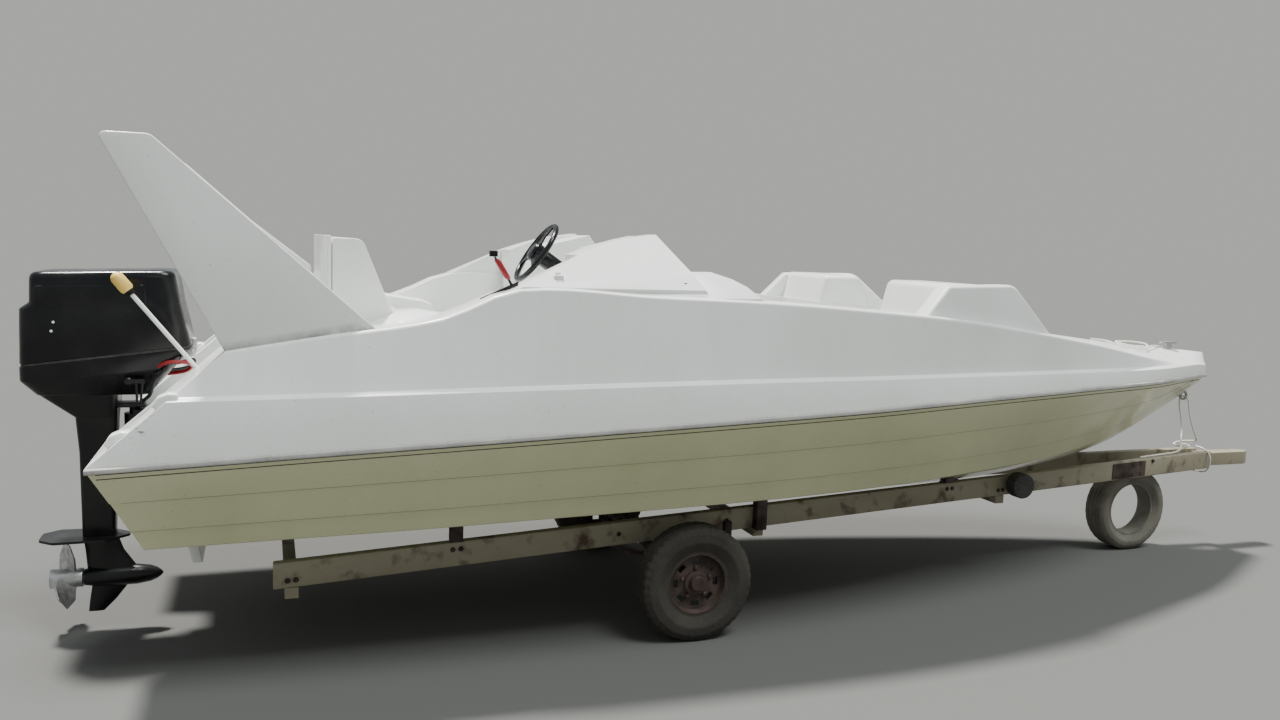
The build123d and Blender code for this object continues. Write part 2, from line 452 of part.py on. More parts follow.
spring_y = (beam_y(AXLE_X) - SPRING_WIDE / 2, beam_y(AXLE_X) + SPRING_WIDE / 2)
leaves = [leaf(share, i * LEAF_PITCH) for i, share in enumerate(LEAF_SHARES)]
spring = side_prism(leaves[0], *spring_y)
for outline in leaves[1:]:
    spring = spring + side_prism(outline, *spring_y)
for x, z in (leaves[-1][0], leaves[-1][4]):
    inward = HANGER if x < AXLE_X else -HANGER
    spring = spring + block((min(x, x + inward), max(x, x + inward)), spring_y, (z, beam_z(x)))
nodes["leaf_springs"] = both_sides(spring - side_rail)


# Wheels
def tyre_shape(radius, width, bead_r, centre):
    """Tyre about a line along Y, bored for its rim."""
    half = width / 2
    side_rows = [(half * wide, bead_r + high * (radius - bead_r)) for wide, high in TYRE_SECTION]
    rows = [(-place, reach) for place, reach in side_rows] + list(reversed(side_rows))
    bore = [(-half, bead_r - RIM_LIP), (half, bead_r - RIM_LIP)]
    return turned(rows, TYRE_SIDES, centre) - turned(bore, TYRE_SIDES, centre)


def rim_shape(centre):
    """Dished wheel with slots and a bored hub, about a line along Y."""
    x, y, z = centre
    barrel_r, barrel = BEAD_R - RIM_LIP, TYRE_SECTION[0][0] * TYRE_WIDTH / 2
    rim = turned([(-barrel, barrel_r), (barrel, barrel_r)], TYRE_SIDES, centre)
    rim = rim - turned([(DISC_Y[1], DISC_R), (barrel + 1, barrel_r - RIM_LIP)], TYRE_SIDES, centre)
    rim = rim - turned([(-barrel - 1, barrel_r - RIM_LIP), (DISC_Y[0], DISC_R)], TYRE_SIDES, centre)
    for i in range(VENTS):
        slot = Pos(VENT_R, (DISC_Y[0] + DISC_Y[1]) / 2, 0) * Box(VENT_SIZE[0], 2 * DISC_Y[1], VENT_SIZE[1])
        rim = rim - Pos(*centre) * Rot(0, 360 * i / VENTS, 0) * slot
    rim = rim + rod((x, y - HUB_HALF, z), (x, y + HUB_HALF, z), HUB_R)
    return rim - cross_rod(x, z, BEYOND, SPINDLE_R + PIVOT_GAP)


wheel_centre = (AXLE_X, WHEEL_Y, AXLE_Z)
tyre, rim = tyre_shape(TYRE_R, TYRE_WIDTH, BEAD_R, wheel_centre), rim_shape(wheel_centre)
nodes["tyre_port"], nodes["rim_port"] = tyre, rim
nodes["tyre_starboard"], nodes["rim_starboard"] = starboard(tyre), starboard(rim)
nodes["jockey_tyre"] = tyre_shape(JOCKEY_R, JOCKEY_WIDTH, JOCKEY_BEAD_R, (JOCKEY_X, 0, JOCKEY_R))


# Outboard motor: bracket over the transom board, swivel, yoke, leg, pan and cowl
def chamfered_loft(rows, inset=0.0):
    """Body through eight-cornered sections; the last section is also lowered by the inset."""
    sections = []
    for row in rows:
        aft, aft_z, fore, fore_z, half, corner = row
        drop = inset if row is rows[-1] else 0.0
        a, b, w = aft + inset, fore - inset, half - inset
        rise = (fore_z - aft_z) / (fore - aft)
        plan = [(a, corner - w), (a + corner, -w), (b - corner, -w), (b, corner - w)]
        plan += [(x, -y) for x, y in reversed(plan)]
        sections.append(polygon([(x, y, aft_z + rise * (x - aft) - drop) for x, y in plan]))
    return loft(sections, ruled=True)


hook_x, hook_z = BOARD_TOP_X + BOARD_THICK, BOARD_TOP_Z + HOOK_OVER
ear = side_prism([(TILT_X - EAR_HALF, TILT_Z + EAR_TOP), (TILT_X - EAR_HALF, HOOK_LOW),
                  (BOARD_TOP_X - 10, EAR_LOW), (BOARD_TOP_X + 70, EAR_LOW), (BOARD_TOP_X + 20, hook_z),
                  (hook_x + 8, hook_z), (hook_x + 30, HOOK_LOW), (hook_x + 60, HOOK_LOW),
                  (hook_x + 50, hook_z + HOOK_THICK), (TILT_X + EAR_HALF, TILT_Z + EAR_TOP)], *EAR_Y)
tube = cross_rod(TILT_X, TILT_Z, TILT_TUBE_HALF, TILT_TUBE_R)
nodes["clamp_bracket"] = both_sides(ear) + tube - nodes["transom_board"] - hull
lug_half, (lug_ahead, lug_below, lug_above) = EAR_Y[0] - EAR_GAP, SWIVEL_LUG
nodes["swivel_bracket"] = (
    rod((STEER_X, 0, SWIVEL_LOW), (STEER_X, 0, SWIVEL_HIGH), SWIVEL_R)
    + block((STEER_X, TILT_X + TILT_TUBE_R + lug_ahead), (-lug_half, lug_half),
            (TILT_Z - lug_below, TILT_Z + lug_above))
    - rod((STEER_X, 0, SWIVEL_LOW - GRP), (STEER_X, 0, OPEN_TOP), KINGPIN_R + PIVOT_GAP)
    - cross_rod(TILT_X, TILT_Z, BEYOND, TILT_TUBE_R + PIVOT_GAP))
yoke = rod((STEER_X, 0, KINGPIN_LOW), (STEER_X, 0, KINGPIN_HIGH), KINGPIN_R)
for arm_z in (SWIVEL_LOW - YOKE_LOW_GAP - YOKE_ARM, TILT_Z + YOKE_HIGH_GAP):
    yoke = yoke + block((YOKE_AFT_X, STEER_X + SWIVEL_R), (-SWIVEL_R, SWIVEL_R), (arm_z, arm_z + YOKE_ARM))
nodes["steering_yoke"] = yoke
nodes["midsection"] = chamfered_loft(LEG_ROWS) - yoke
nodes["lower_pan"] = chamfered_loft(PAN_ROWS)
nodes["cowl"] = chamfered_loft(COWL_ROWS) - chamfered_loft(COWL_ROWS, COWL_WALL)
seam_aft, seam_aft_z, seam_fore, seam_fore_z = SEAM
seam_rise = (seam_fore_z - seam_aft_z) / (seam_fore - seam_aft)
powerhead_low = [(x, seam_aft_z + seam_rise * (x - seam_aft)) for x in POWERHEAD_X]
nodes["powerhead"] = side_prism(powerhead_low + [(x, POWERHEAD_TOP) for x in reversed(POWERHEAD_X)],
                                -POWERHEAD_HALF, POWERHEAD_HALF)

# Gearcase and propeller
torpedo = Pos(0, 0, PROP_Z) * revolve(polygon([(x, 0, r) for x, r in TORPEDO]), axis=Axis.X)
strut = side_prism([(STRUT_LOW_X[0], PROP_Z), (STRUT_LOW_X[1], PROP_Z), (STRUT_TOP_X[1], PLATE_Z),
                    (STRUT_TOP_X[0], PLATE_Z)], -STRUT_HALF, STRUT_HALF)
skeg = side_prism([(SKEG_TOP_X[0], PROP_Z), (SKEG_TOP_X[1], PROP_Z), (SKEG_FOOT_X[1], SKEG_FOOT_Z),
                   (SKEG_FOOT_X[0], SKEG_FOOT_Z)], -SKEG_HALF, SKEG_HALF)
plate_plan = list(PLATE_HALF) + [(x, -y) for x, y in reversed(PLATE_HALF)]
plate = plan_prism(plate_plan, PLATE_Z, PLATE_Z + PLATE_THICK)
shaft_bore = rod((PROP_HUB_X[0], 0, PROP_Z), (PROP_SHAFT_FORE + GRP, 0, PROP_Z), PROP_SHAFT_R + PIVOT_GAP)
nodes["gearcase"] = torpedo + strut + skeg + plate - shaft_bore
blade = loft([Pos(BLADE_X, 0, radius) * Rot(0, 0, pitch) * Rectangle(thick, chord)
              for radius, chord, thick, pitch in BLADE_ROWS], ruled=True)
propeller = (rod((PROP_HUB_X[0], 0, 0), (PROP_HUB_X[1], 0, 0), PROP_HUB_R)
             + rod((PROP_HUB_X[1], 0, 0), (PROP_SHAFT_FORE, 0, 0), PROP_SHAFT_R))
for i in range(BLADES):
    propeller = propeller + Rot(360 * i / BLADES, 0, 0) * blade
nodes["propeller"] = Pos(0, 0, PROP_Z) * propeller


# Ropes
def rope(name, route):
    """Round rope along a route, with arcs as large as the runs beside them allow."""
    points = [Vector(*p) for p in route]
    radii = []
    for before, here, after in zip(points, points[1:], points[2:]):
        turn = radians((here - before).get_angle(after - here))
        radii.append(ARC_SHARE * min((here - before).length, (after - here).length) / tan(turn / 2))
    path = FilletPolyline(*points, radius=radii)
    shape = sweep(Plane(points[0], z_dir=points[1] - points[0]) * Circle(ROPE_R), path=path)
    print(name, "radii", [round(r) for r in radii], "length", round(path.length), "volume share",
          round(shape.volume / (pi * ROPE_R ** 2 * path.length), 4))
    return shape


nodes["bow_line"] = rope("bow_line", BOW_LINE)
nodes["deck_rope"] = rope("deck_rope", DECK_ROPE)

# Everything about the middle of the whole, on the ground
whole = Compound(children=[Compound(shape.solids()) for shape in nodes.values()]).bounding_box()
middle_x = (whole.min.X + whole.max.X) / 2
print("middle at", round(middle_x, 3), "box", whole.min, whole.max)
os.makedirs("parts", exist_ok=True)
for name, shape in nodes.items():
    export_step(Pos(-middle_x, 0, 0) * Compound(shape.solids()), "parts/" + name + ".step")
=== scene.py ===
"""Looks of the speedboat on its trailer: smooth gelcoat mouldings, motor, running gear, ropes and stage.

Places are in metres in the boat's own frame, x forward from the aftmost point of the rub rail,
y to port and z up from the ground. The function at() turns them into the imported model's frame.
"""
import json
from math import cos, pi, radians, sin, tan

import bmesh
import bpy
from mathutils import Matrix, Vector


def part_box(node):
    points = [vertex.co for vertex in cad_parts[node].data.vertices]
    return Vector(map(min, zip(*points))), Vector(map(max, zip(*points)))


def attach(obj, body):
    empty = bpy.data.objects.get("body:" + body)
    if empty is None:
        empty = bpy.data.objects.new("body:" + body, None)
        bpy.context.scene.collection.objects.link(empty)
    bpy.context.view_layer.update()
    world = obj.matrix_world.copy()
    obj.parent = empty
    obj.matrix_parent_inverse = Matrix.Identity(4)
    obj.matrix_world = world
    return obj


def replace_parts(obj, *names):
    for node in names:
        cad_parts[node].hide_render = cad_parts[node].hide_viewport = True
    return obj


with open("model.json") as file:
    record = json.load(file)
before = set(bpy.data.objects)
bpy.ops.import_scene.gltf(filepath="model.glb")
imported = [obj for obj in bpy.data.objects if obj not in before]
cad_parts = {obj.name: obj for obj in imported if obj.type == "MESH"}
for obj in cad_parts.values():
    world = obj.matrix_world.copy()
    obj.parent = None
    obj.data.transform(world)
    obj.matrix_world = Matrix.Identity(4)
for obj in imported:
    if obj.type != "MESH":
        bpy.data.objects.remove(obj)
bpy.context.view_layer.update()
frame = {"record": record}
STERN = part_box("rub_rail")[0][0]
SIDES = (("port", 1), ("starboard", -1))

# Photograph: camera in the boat's frame and its angles in degrees
IMAGE_WIDE, FOCAL_PIXELS, SENSOR = 1280, 1050, 36.0
CAMERA_AT, CAMERA_YAW, CAMERA_PITCH, CAMERA_ROLL = (0.677, -5.6, 1.985), 19.7, 6.3, 2.0

# Hull and deck stations from stern to stem
X, RAIL_B, RAIL_Z, KNUCKLE_Z, EDGE_B, EDGE_Z, MIDDLE_Z, CHINE_B, CHINE_Z, KEEL_Z = range(10)
STATIONS = (
    (0.0, 1.075, 1.02, 1.288, 0.975, 1.4, 1.4, 0.9, 0.64, 0.415),
    (0.9, 1.12, 1.073, 1.308, 1.0, 1.552, 1.552, 0.93, 0.664, 0.43),
    (1.4, 1.132, 1.098, 1.32, 1.016, 1.634, 1.634, 0.938, 0.675, 0.438),
    (1.74, 1.14, 1.115, 1.328, 1.028, 1.768, 1.768, 0.94, 0.685, 0.444),
    (2.4, 1.146, 1.148, 1.341, 1.048, 1.747, 1.747, 0.93, 0.7, 0.456),
    (3.0, 1.14, 1.176, 1.35, 1.06, 1.728, 1.728, 0.905, 0.712, 0.468),
    (3.6, 1.1, 1.2, 1.352, 1.045, 1.691, 1.691, 0.845, 0.725, 0.484),
    (4.2, 1.01, 1.222, 1.35, 0.985, 1.641, 1.641, 0.745, 0.742, 0.51),
    (5.2, 0.785, 1.24, 1.337, 0.745, 1.505, 1.53, 0.48, 0.778, 0.572),
    (6.0, 0.525, 1.238, 1.322, 0.468, 1.372, 1.44, 0.24, 0.88, 0.728),
    (6.6, 0.2, 1.225, 1.305, 0.162, 1.296, 1.392, 0.075, 1.08, 1.005),
    (6.88, 0.04, 1.212, 1.285, 0.028, 1.292, 1.368, 0.016, 1.185, 1.168),
)
SECTIONS, BOW_CROWDING = 72, 1.25
LAP, LAP_SHARES, LAP_RADII, CHINE_R, TUMBLE = 0.012, (0.4, 0.76), [0.002, 0.004], 0.012, 0.03
SHOULDER_OUT, SHOULDER_IN, SHOULDER_RISE, SHOULDER_FULL_B = 0.006, 0.024, 0.01, 0.25
KNUCKLE_DROP, SHOULDER_RADII, EDGE_R, DECK_SOFT = 0.004, (0.005, 0.006), 0.02, 0.012

# Stern, motor well and cockpits, as the solids have them
STERN_Z, RAKE_FOOT, QUARTER_HEAD = 1.03, (0.305, 0.42), (0.514, 1.484)
WELL_HALF, WELL_FLOOR_Z, WELL_END_X = 0.45, 0.96, 0.88
BOARD_FRONT = ((0.255, 1.01), (0.395, 0.44))
COCKPIT_AFT_X, COCKPIT_FORE_X, SOLE_Z, SIDE_DECK = 0.95, 3.985, 0.86, 0.21
WALK_HALF, BOW_WELL_AFT_X, BOW_WELL_FORE_X, BOW_SOLE_Z = 0.34, 4.412, 5.33, 0.96
COCKPIT_CORNER, OPEN_TOP, BEYOND = 0.07, 2.6, 1.4
WELL_LAP, WELL_CORNER, WALK_LAP, CORNER_STEPS = 0.01, 0.06, 0.03, 6

# Ropes, as points along their middle
ROPE_R = 0.006
BOW_LINE = (
    (6.918, 0.015, 0.692), (6.912, -0.122, 0.694), (6.905, -0.124, 0.528), (6.898, 0.0, 0.52),
    (6.89, 0.124, 0.528), (6.882, 0.122, 0.694), (6.862, 0.024, 0.7), (6.8, -0.042, 0.696),
    (6.738, 0.012, 0.7), (6.77, 0.084, 0.706), (6.852, 0.072, 0.722), (6.872, -0.012, 0.736),
    (6.826, -0.074, 0.752), (6.786, -0.062, 0.842), (6.758, -0.05, 0.94), (6.747, -0.04, 1.056),
    (6.747, 0.04, 1.056), (6.772, 0.052, 0.962), (6.812, 0.062, 0.872), (6.818, 0.056, 0.786),
    (6.772, 0.014, 0.738), (6.708, -0.05, 0.716), (6.64, -0.104, 0.684), (6.52, -0.104, 0.674),
    (6.39, -0.126, 0.672), (6.262, -0.134, 0.664))
DECK_ROPE = (
    (6.59, 0.02, 1.395), (6.51, 0.021, 1.405), (6.43, -0.024, 1.414), (6.33, -0.066, 1.417),
    (6.23, -0.13, 1.412),
    (6.11, -0.11, 1.424), (6.07, -0.02, 1.441), (6.15, 0.04, 1.44), (6.26, 0.01, 1.44),
    (6.29, -0.09, 1.434), (6.2, -0.176, 1.408), (6.08, -0.18, 1.412), (5.99, -0.11, 1.434),
    (6.01, -0.01, 1.452), (5.93, 0.05, 1.454))


def at(x, y, z):
    """A place of the boat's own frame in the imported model's frame."""
    return Vector((x + STERN, y, z))


# Materials


MIX_A, MIX_B, MIX_RESULT, FULL_NEAR = 6, 7, 2, 0.4


class Paint:
    """Node material with a principled shader and helpers for its patterns."""

    def __init__(self, name, colour, roughness, **more):
        self.material = bpy.data.materials.new(name)
        self.material.use_nodes = True
        self.material.diffuse_color = (*colour, 1)
        self.tree = self.material.node_tree
        self.shader = self.tree.nodes["Principled BSDF"]
        self.feed(self.shader, {"Base Color": colour, "Roughness": roughness})
        self.feed(self.shader, {key.replace("_", " "): value for key, value in more.items()})
        self.place = self.add("TexCoord", {}).outputs["Object"]

    def feed(self, node, values):
        """Set a node's inputs, or link outputs of other nodes to them."""
        for key, value in values.items():
            socket = node.inputs[key]
            if isinstance(value, bpy.types.NodeSocket):
                self.tree.links.new(value, socket)
            else:
                socket.default_value = (*value, 1) if socket.type == "RGBA" else value

    def add(self, kind, values, **settings):
        node = self.tree.nodes.new("ShaderNode" + kind)
        for key, value in settings.items():
            setattr(node, key, value)
        self.feed(node, values)
        return node

    def remap(self, value, low, high, to_low=0.0, to_high=1.0):
        ends = {"Value": value, "From Min": low, "From Max": high, "To Min": to_low, "To Max": to_high}
        return self.add("MapRange", ends).outputs["Result"]

    def noise(self, scale, low, high, detail=4, stretch=None):
        """Value from 0 to 1, crossing over between two levels of a noise."""
        place = self.place
        if stretch:
            place = self.add("Mapping", {"Vector": place, "Scale": stretch}).outputs["Vector"]
        texture = self.add("TexNoise", {"Vector": place, "Scale": scale, "Detail": detail})
        return self.remap(texture.outputs["Fac"], low, high)

    def math(self, operation, a, b):
        return self.add("Math", {0: a, 1: b}, operation=operation).outputs["Value"]

    def coordinate(self, axis):
        return self.add("SeparateXYZ", {"Vector": self.place}).outputs[axis]

    def near(self, place, reach):
        """1 at a place of the boat's frame, fading to 0 at a distance."""
        gap = self.add("VectorMath", {0: self.place, 1: at(*place)}, operation="DISTANCE").outputs["Value"]
        return self.remap(gap, FULL_NEAR * reach, reach, 1.0, 0.0)

    def mix(self, factor, a, b):
        values = {"Factor": factor, MIX_A: a, MIX_B: b}
        return self.add("Mix", values, data_type="RGBA").outputs[MIX_RESULT]

    def over(self, base, marks, share, tone):
        """Base colour with a share of some marks laid over it in another tone."""
        return self.mix(self.math("MULTIPLY", marks, share), base, tone)

    def colour(self, socket):
        self.feed(self.shader, {"Base Color": socket})

    def roughness(self, factor, low, high):
        self.feed(self.shader, {"Roughness": self.remap(factor, 0, 1, low, high)})

    def bump(self, height, distance, strength=1.0):
        node = self.add("Bump", {"Distance": distance, "Strength": strength, "Height": height})
        if self.shader.inputs["Normal"].links:
            self.feed(node, {"Normal": self.shader.inputs["Normal"].links[0].from_socket})
        self.feed(self.shader, {"Normal": node.outputs["Normal"]})


# Dark tone of the scuffs and of the darker band at the fins' foot, where that band starts and how high it
# reaches
SCUFF_AND_FOOT_DARK, FIN_FOOT_Z, FIN_FOOT_RISE, DARK_FOOT_HIGH = (0.16, 0.16, 0.13), 1.396, 0.168, 0.045
SCUFFS = (((0.466, -0.975, 1.836), 0.03), ((0.19, -1.06, 1.16), 0.05), ((0.24, -1.055, 1.215), 0.035))


def gelcoat(name, clean, grimy, stained, dark_foot=False):
    """Old gelcoat: chalky gloss, long-wave print-through, grimy patches and runs, scratches and scuffs."""
    paint = Paint(name, clean, 0.34, Coat_Weight=0.5, Coat_Roughness=0.12)
    patches = paint.noise(1.3, 0.35, 0.75)
    runs = paint.noise(5.0, 0.52, 0.8, detail=6, stretch=(1.6, 1.6, 0.22))
    specks = paint.noise(60.0, 0.66, 0.74, detail=3)
    scratches = paint.noise(40.0, 0.55, 0.68, detail=8, stretch=(0.5, 1.0, 1.6))
    base = clean
    for marks, share, tone in ((patches, 0.7, grimy), (runs, 0.35, grimy), (specks, 0.3, stained)):
        base = paint.over(base, marks, share, tone)
    for place, reach in SCUFFS:
        base = paint.over(base, paint.near(place, reach), scratches, SCUFF_AND_FOOT_DARK)
    # Darker band along the fin's foot, fading out upward and broken up by noise
    if dark_foot:
        slope = paint.math("MULTIPLY", paint.coordinate("X"), FIN_FOOT_RISE)
        height = paint.math("SUBTRACT", paint.coordinate("Z"), slope)
        foot = FIN_FOOT_Z - STERN * FIN_FOOT_RISE
        foot_darkening = paint.remap(height, foot, foot + DARK_FOOT_HIGH, 1.0, 0.0)
        base = paint.over(base, foot_darkening, paint.noise(12.0, 0.25, 0.6, detail=6), SCUFF_AND_FOOT_DARK)
    paint.colour(base)
    paint.roughness(paint.noise(2.2, 0.3, 0.7), 0.28, 0.5)
    paint.bump(paint.noise(3.5, 0.0, 1.0, detail=1), 0.0022, 0.5)
    paint.bump(paint.noise(220.0, 0.0, 1.0, detail=2), 0.00012)
    return paint.material


def rusted_paint(name, coating, rust, dark, bare_low, bare_high):
    """Old paint that has flaked to rust."""
    paint = Paint(name, coating, 0.6)
    flakes = paint.noise(9.0, bare_low, bare_high, detail=8)
    stains = paint.noise(3.0, 0.35, 0.75, detail=5, stretch=(0.6, 1.5, 1.5))
    grain = paint.noise(90.0, 0.3, 0.7, detail=4)
    iron = paint.mix(grain, rust, dark)
    paint.colour(paint.mix(flakes, paint.over(coating, stains, 0.45, rust), iron))
    paint.roughness(flakes, 0.5, 0.9)
    paint.bump(flakes, 0.0012, 0.8)
    paint.bump(grain, 0.0006, 0.8)
    return paint.material


def plastic(name, colour, dust, roughness, specular=0.5):
    paint = Paint(name, colour, roughness, Specular_IOR_Level=specular)
    film = paint.noise(7.0, 0.4, 0.8, detail=5)
    paint.colour(paint.over(colour, film, 0.55, dust))
    paint.roughness(film, roughness, min(roughness + 0.25, 0.9))
    paint.bump(paint.noise(400.0, 0.0, 1.0, detail=2), 0.00015)
    return paint.material


def metal(name, colour, dull, roughness):
    paint = Paint(name, colour, roughness, Metallic=1.0)
    worn = paint.noise(25.0, 0.35, 0.7, detail=6)
    paint.colour(paint.mix(worn, colour, dull))
    paint.roughness(worn, roughness, roughness + 0.3)
    paint.bump(worn, 0.0003)
    return paint.material


def rubber(name, colour, dust, dusting):
    paint = Paint(name, colour, 0.8)
    film = paint.noise(6.0, 0.3, 0.7, detail=6)
    grit = paint.noise(70.0, 0.45, 0.6, detail=3)
    base = paint.over(colour, film, dusting, dust)
    paint.colour(paint.over(base, grit, 0.25, dust))
    paint.roughness(film, 0.75, 0.95)
    paint.bump(grit, 0.0006, 0.6)
    return paint.material


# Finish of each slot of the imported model, and of the pieces that depart from it
WHITE_TONES = ((0.8, 0.82, 0.8), (0.67, 0.69, 0.66), (0.4, 0.38, 0.32))
FINISHES = {
    "white_gelcoat": (gelcoat, *WHITE_TONES),
    "cream_gelcoat": (gelcoat, (0.66, 0.66, 0.41), (0.53, 0.54, 0.32), (0.28, 0.27, 0.16)),
    "rail_rubber": (rubber, (0.3, 0.3, 0.29), (0.52, 0.51, 0.47), 0.8),
    "trailer_steel": (rusted_paint, (0.28, 0.26, 0.18), (0.12, 0.07, 0.042), (0.055, 0.042, 0.033),
                      0.55, 0.72),
    "rusty_steel": (rusted_paint, (0.058, 0.036, 0.028), (0.046, 0.027, 0.02), (0.018, 0.014, 0.012),
                    0.42, 0.62),
    "tyre": (rubber, (0.016, 0.015, 0.014), (0.06, 0.052, 0.04), 0.8),
    "black_rubber": (rubber, (0.02, 0.02, 0.022), (0.12, 0.11, 0.1), 0.4),
    "black_plastic": (plastic, (0.004, 0.004, 0.005), (0.014, 0.014, 0.014), 0.14, 0.3),
    "black_paint": (plastic, (0.005, 0.005, 0.006), (0.024, 0.023, 0.02), 0.28, 0.35),
    "aluminium": (metal, (0.62, 0.62, 0.62), (0.36, 0.36, 0.35), 0.35),
    "steel": (metal, (0.45, 0.44, 0.43), (0.22, 0.2, 0.18), 0.35),
    "yellow_lens": (plastic, (0.72, 0.5, 0.12), (0.45, 0.34, 0.15), 0.35),
    "old_rope": (rubber, (0.76, 0.75, 0.69), (0.52, 0.49, 0.42), 0.6),
}
SLOT_MATERIALS = {slot: make(slot + "_looks", *tones) for slot, (make, *tones) in FINISHES.items()}
SLOT_MATERIALS["engine_block"] = SLOT_MATERIALS["aluminium"]
FIN_WHITE = gelcoat("fin_gelcoat_looks", *WHITE_TONES, dark_foot=True)
OLD_TYRE = rubber("old_tyre_looks", (0.08, 0.076, 0.064), (0.21, 0.195, 0.155), 0.9)
RED_PLASTIC = plastic("red_looks", (0.28, 0.006, 0.012), (0.16, 0.02, 0.02), 0.35)
# Colour of the strips under the hull's laps: painted shadow of the lap steps
LAP_SHADE = rubber("lap_shade_looks", (0.16, 0.15, 0.1), (0.3, 0.29, 0.2), 0.8)
NODE_SLOTS = {part["node"]: part["material_slot"] for part in frame["record"]["subparts"]}
BODIES = frame["record"]["behaviour"]["bodies"]
NODE_BODIES = {node: body for body, nodes in BODIES.items() for node in nodes}


# Mesh helpers, and the angles in degrees above which an edge is sharp or gets rounded
SMOOTH_ANGLE, BEVEL_ANGLE, SHARP_ANGLE, FLAT_ANGLE, TURNED_ANGLE = 35.0, 30.0, 25.0, 1.0, 30
HULL_ANGLE, DECK_ANGLE, COWL_ANGLE, MOTOR_ANGLE, MOTOR_BEVEL_ANGLE = 28, 40, 30, 40.0, 14
GRIP_ANGLE, LINE_ANGLE = 40, 60
WELD, NODE_WELD, FOOT_NORMAL, LONGEST_CUT = 1e-6, 1e-5, -0.5, 0.42


def placed(name, data):
    """New object in the scene."""
    thing = bpy.data.objects.new(name, data)
    bpy.context.collection.objects.link(thing)
    return thing


def add_piece(name, mesh, node, material=None, slot=None):
    """A finished piece on the body of a CAD node, from a mesh or several, with the finish of its slot."""
    slot = slot or NODE_SLOTS[node]
    mesh = joined(mesh) if isinstance(mesh, list) else mesh
    piece = placed(name, mesh)
    mesh.materials.clear()
    mesh.materials.append(material or SLOT_MATERIALS[slot])
    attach(piece, NODE_BODIES[node])
    return piece


def evaluated(thing):
    """Mesh of an object as its modifiers or its curve make it."""
    graph = bpy.context.evaluated_depsgraph_get()
    graph.update()
    return bpy.data.meshes.new_from_object(thing.evaluated_get(graph))


def applied(piece):
    """Bake a piece's modifiers into its mesh."""
    mesh = evaluated(piece)
    piece.modifiers.clear()
    piece.data = mesh
    return piece


def rounded_edges(piece, width, segments=3, angle=BEVEL_ANGLE, limit="ANGLE"):
    bevel = piece.modifiers.new("round", "BEVEL")
    bevel.width, bevel.segments, bevel.limit_method = width, segments, limit
    bevel.angle_limit = radians(angle)
    return applied(piece)


def smooth(piece, angle=SMOOTH_ANGLE):
    piece.data.shade_smooth()
    piece.data.set_sharp_from_angle(angle=radians(angle))
    return piece


def dress(name, mesh, node, soften=0.0, segments=3, angle=SMOOTH_ANGLE, **looks):
    """Smooth piece with its edges rounded."""
    piece = add_piece(name, mesh, node, **looks)
    if soften:
        rounded_edges(piece, soften, segments)
    return smooth(piece, angle)


def stand_in(name, mesh, node, *finish, **looks):
    """Dressed piece in place of its CAD node."""
    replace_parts(dress(name, mesh, node, *finish, **looks), node)


def carve(piece, mesh, face_slot=0):
    """Cut a mesh out of a piece; its faces keep their material index in the piece."""
    for polygon in mesh.polygons:
        polygon.material_index = face_slot
    cutter = placed("cutter", mesh)
    boolean = piece.modifiers.new("carve", "BOOLEAN")
    boolean.object, boolean.operation, boolean.solver = cutter, "DIFFERENCE", "EXACT"
    applied(piece)
    bpy.data.objects.remove(cutter)


def finished(form):
    """New mesh of an edit form, which is freed."""
    mesh = bpy.data.meshes.new("form")
    form.to_mesh(mesh)
    form.free()
    return mesh


def mesh_of(points, faces):
    form = bmesh.new()
    corners = [form.verts.new(point) for point in points]
    for face in faces:
        form.faces.new([corners[i] for i in face])
    bmesh.ops.recalc_face_normals(form, faces=form.faces)
    return finished(form)


def loft(rings, caps=True):
    """Mesh through closed rings of equally many points."""
    count = len(rings[0])
    points = [point for ring in rings for point in ring]
    faces = []
    for i in range(len(rings) - 1):
        for j in range(count):
            k = (j + 1) % count
            faces.append((i * count + j, i * count + k, (i + 1) * count + k, (i + 1) * count + j))
    if caps:
        faces.append(tuple(range(count))[::-1])
        faces.append(tuple((len(rings) - 1) * count + j for j in range(count)))
    return mesh_of(points, faces)


def prism(outline, start, end):
    """Mesh between two copies of an outline, given by functions from its two coordinates to a place."""
    return loft([[start(a, b) for a, b in outline], [end(a, b) for a, b in outline]])


def side_prism(outline, y_from, y_to):
    return prism(outline, lambda x, z: at(x, y_from, z), lambda x, z: at(x, y_to, z))


def plan_prism(outline, z_from, z_to):
    return prism(outline, lambda x, y: at(x, y, z_from), lambda x, y: at(x, y, z_to))


def joined(meshes):
    """One mesh of several."""
    form = bmesh.new()
    for mesh in meshes:
        form.from_mesh(mesh)
        bpy.data.meshes.remove(mesh)
    return finished(form)


def welded(mesh):
    """Mesh with its doubled corners merged and its normals outward."""
    form = bmesh.new()
    form.from_mesh(mesh)
    bmesh.ops.remove_doubles(form, verts=form.verts, dist=WELD)
    bmesh.ops.recalc_face_normals(form, faces=form.faces)
    form.to_mesh(mesh)
    form.free()
    return mesh


def box_mesh(x, y, z):
    return side_prism([(x[0], z[0]), (x[1], z[0]), (x[1], z[1]), (x[0], z[1])], y[0], y[1])


def circle(sides):
    """Cosines and sines of even steps round a circle."""
    return [(cos(2 * pi * j / sides), sin(2 * pi * j / sides)) for j in range(sides)]


def turned(profile, centre, sides, way=1):
    """Body about a line across, from rows of place and radius; rows of radius 0 become a point."""
    x, y, z = centre
    rings = [[at(x + reach * c, y + way * place, z + reach * s) for c, s in circle(sides)]
             for place, reach in profile]
    return welded(loft(rings, caps=False))


def disc(centre, radius, thick, sides, way=1):
    return turned(((0.0, 0.0), (0.0, radius), (thick, radius), (thick, 0.0)), centre, sides, way)


def upright(foot, low, high, radius, sides):
    return loft([[at(foot[0] + radius * c, foot[1] + radius * s, z) for c, s in circle(sides)]
                 for z in (low, high)])


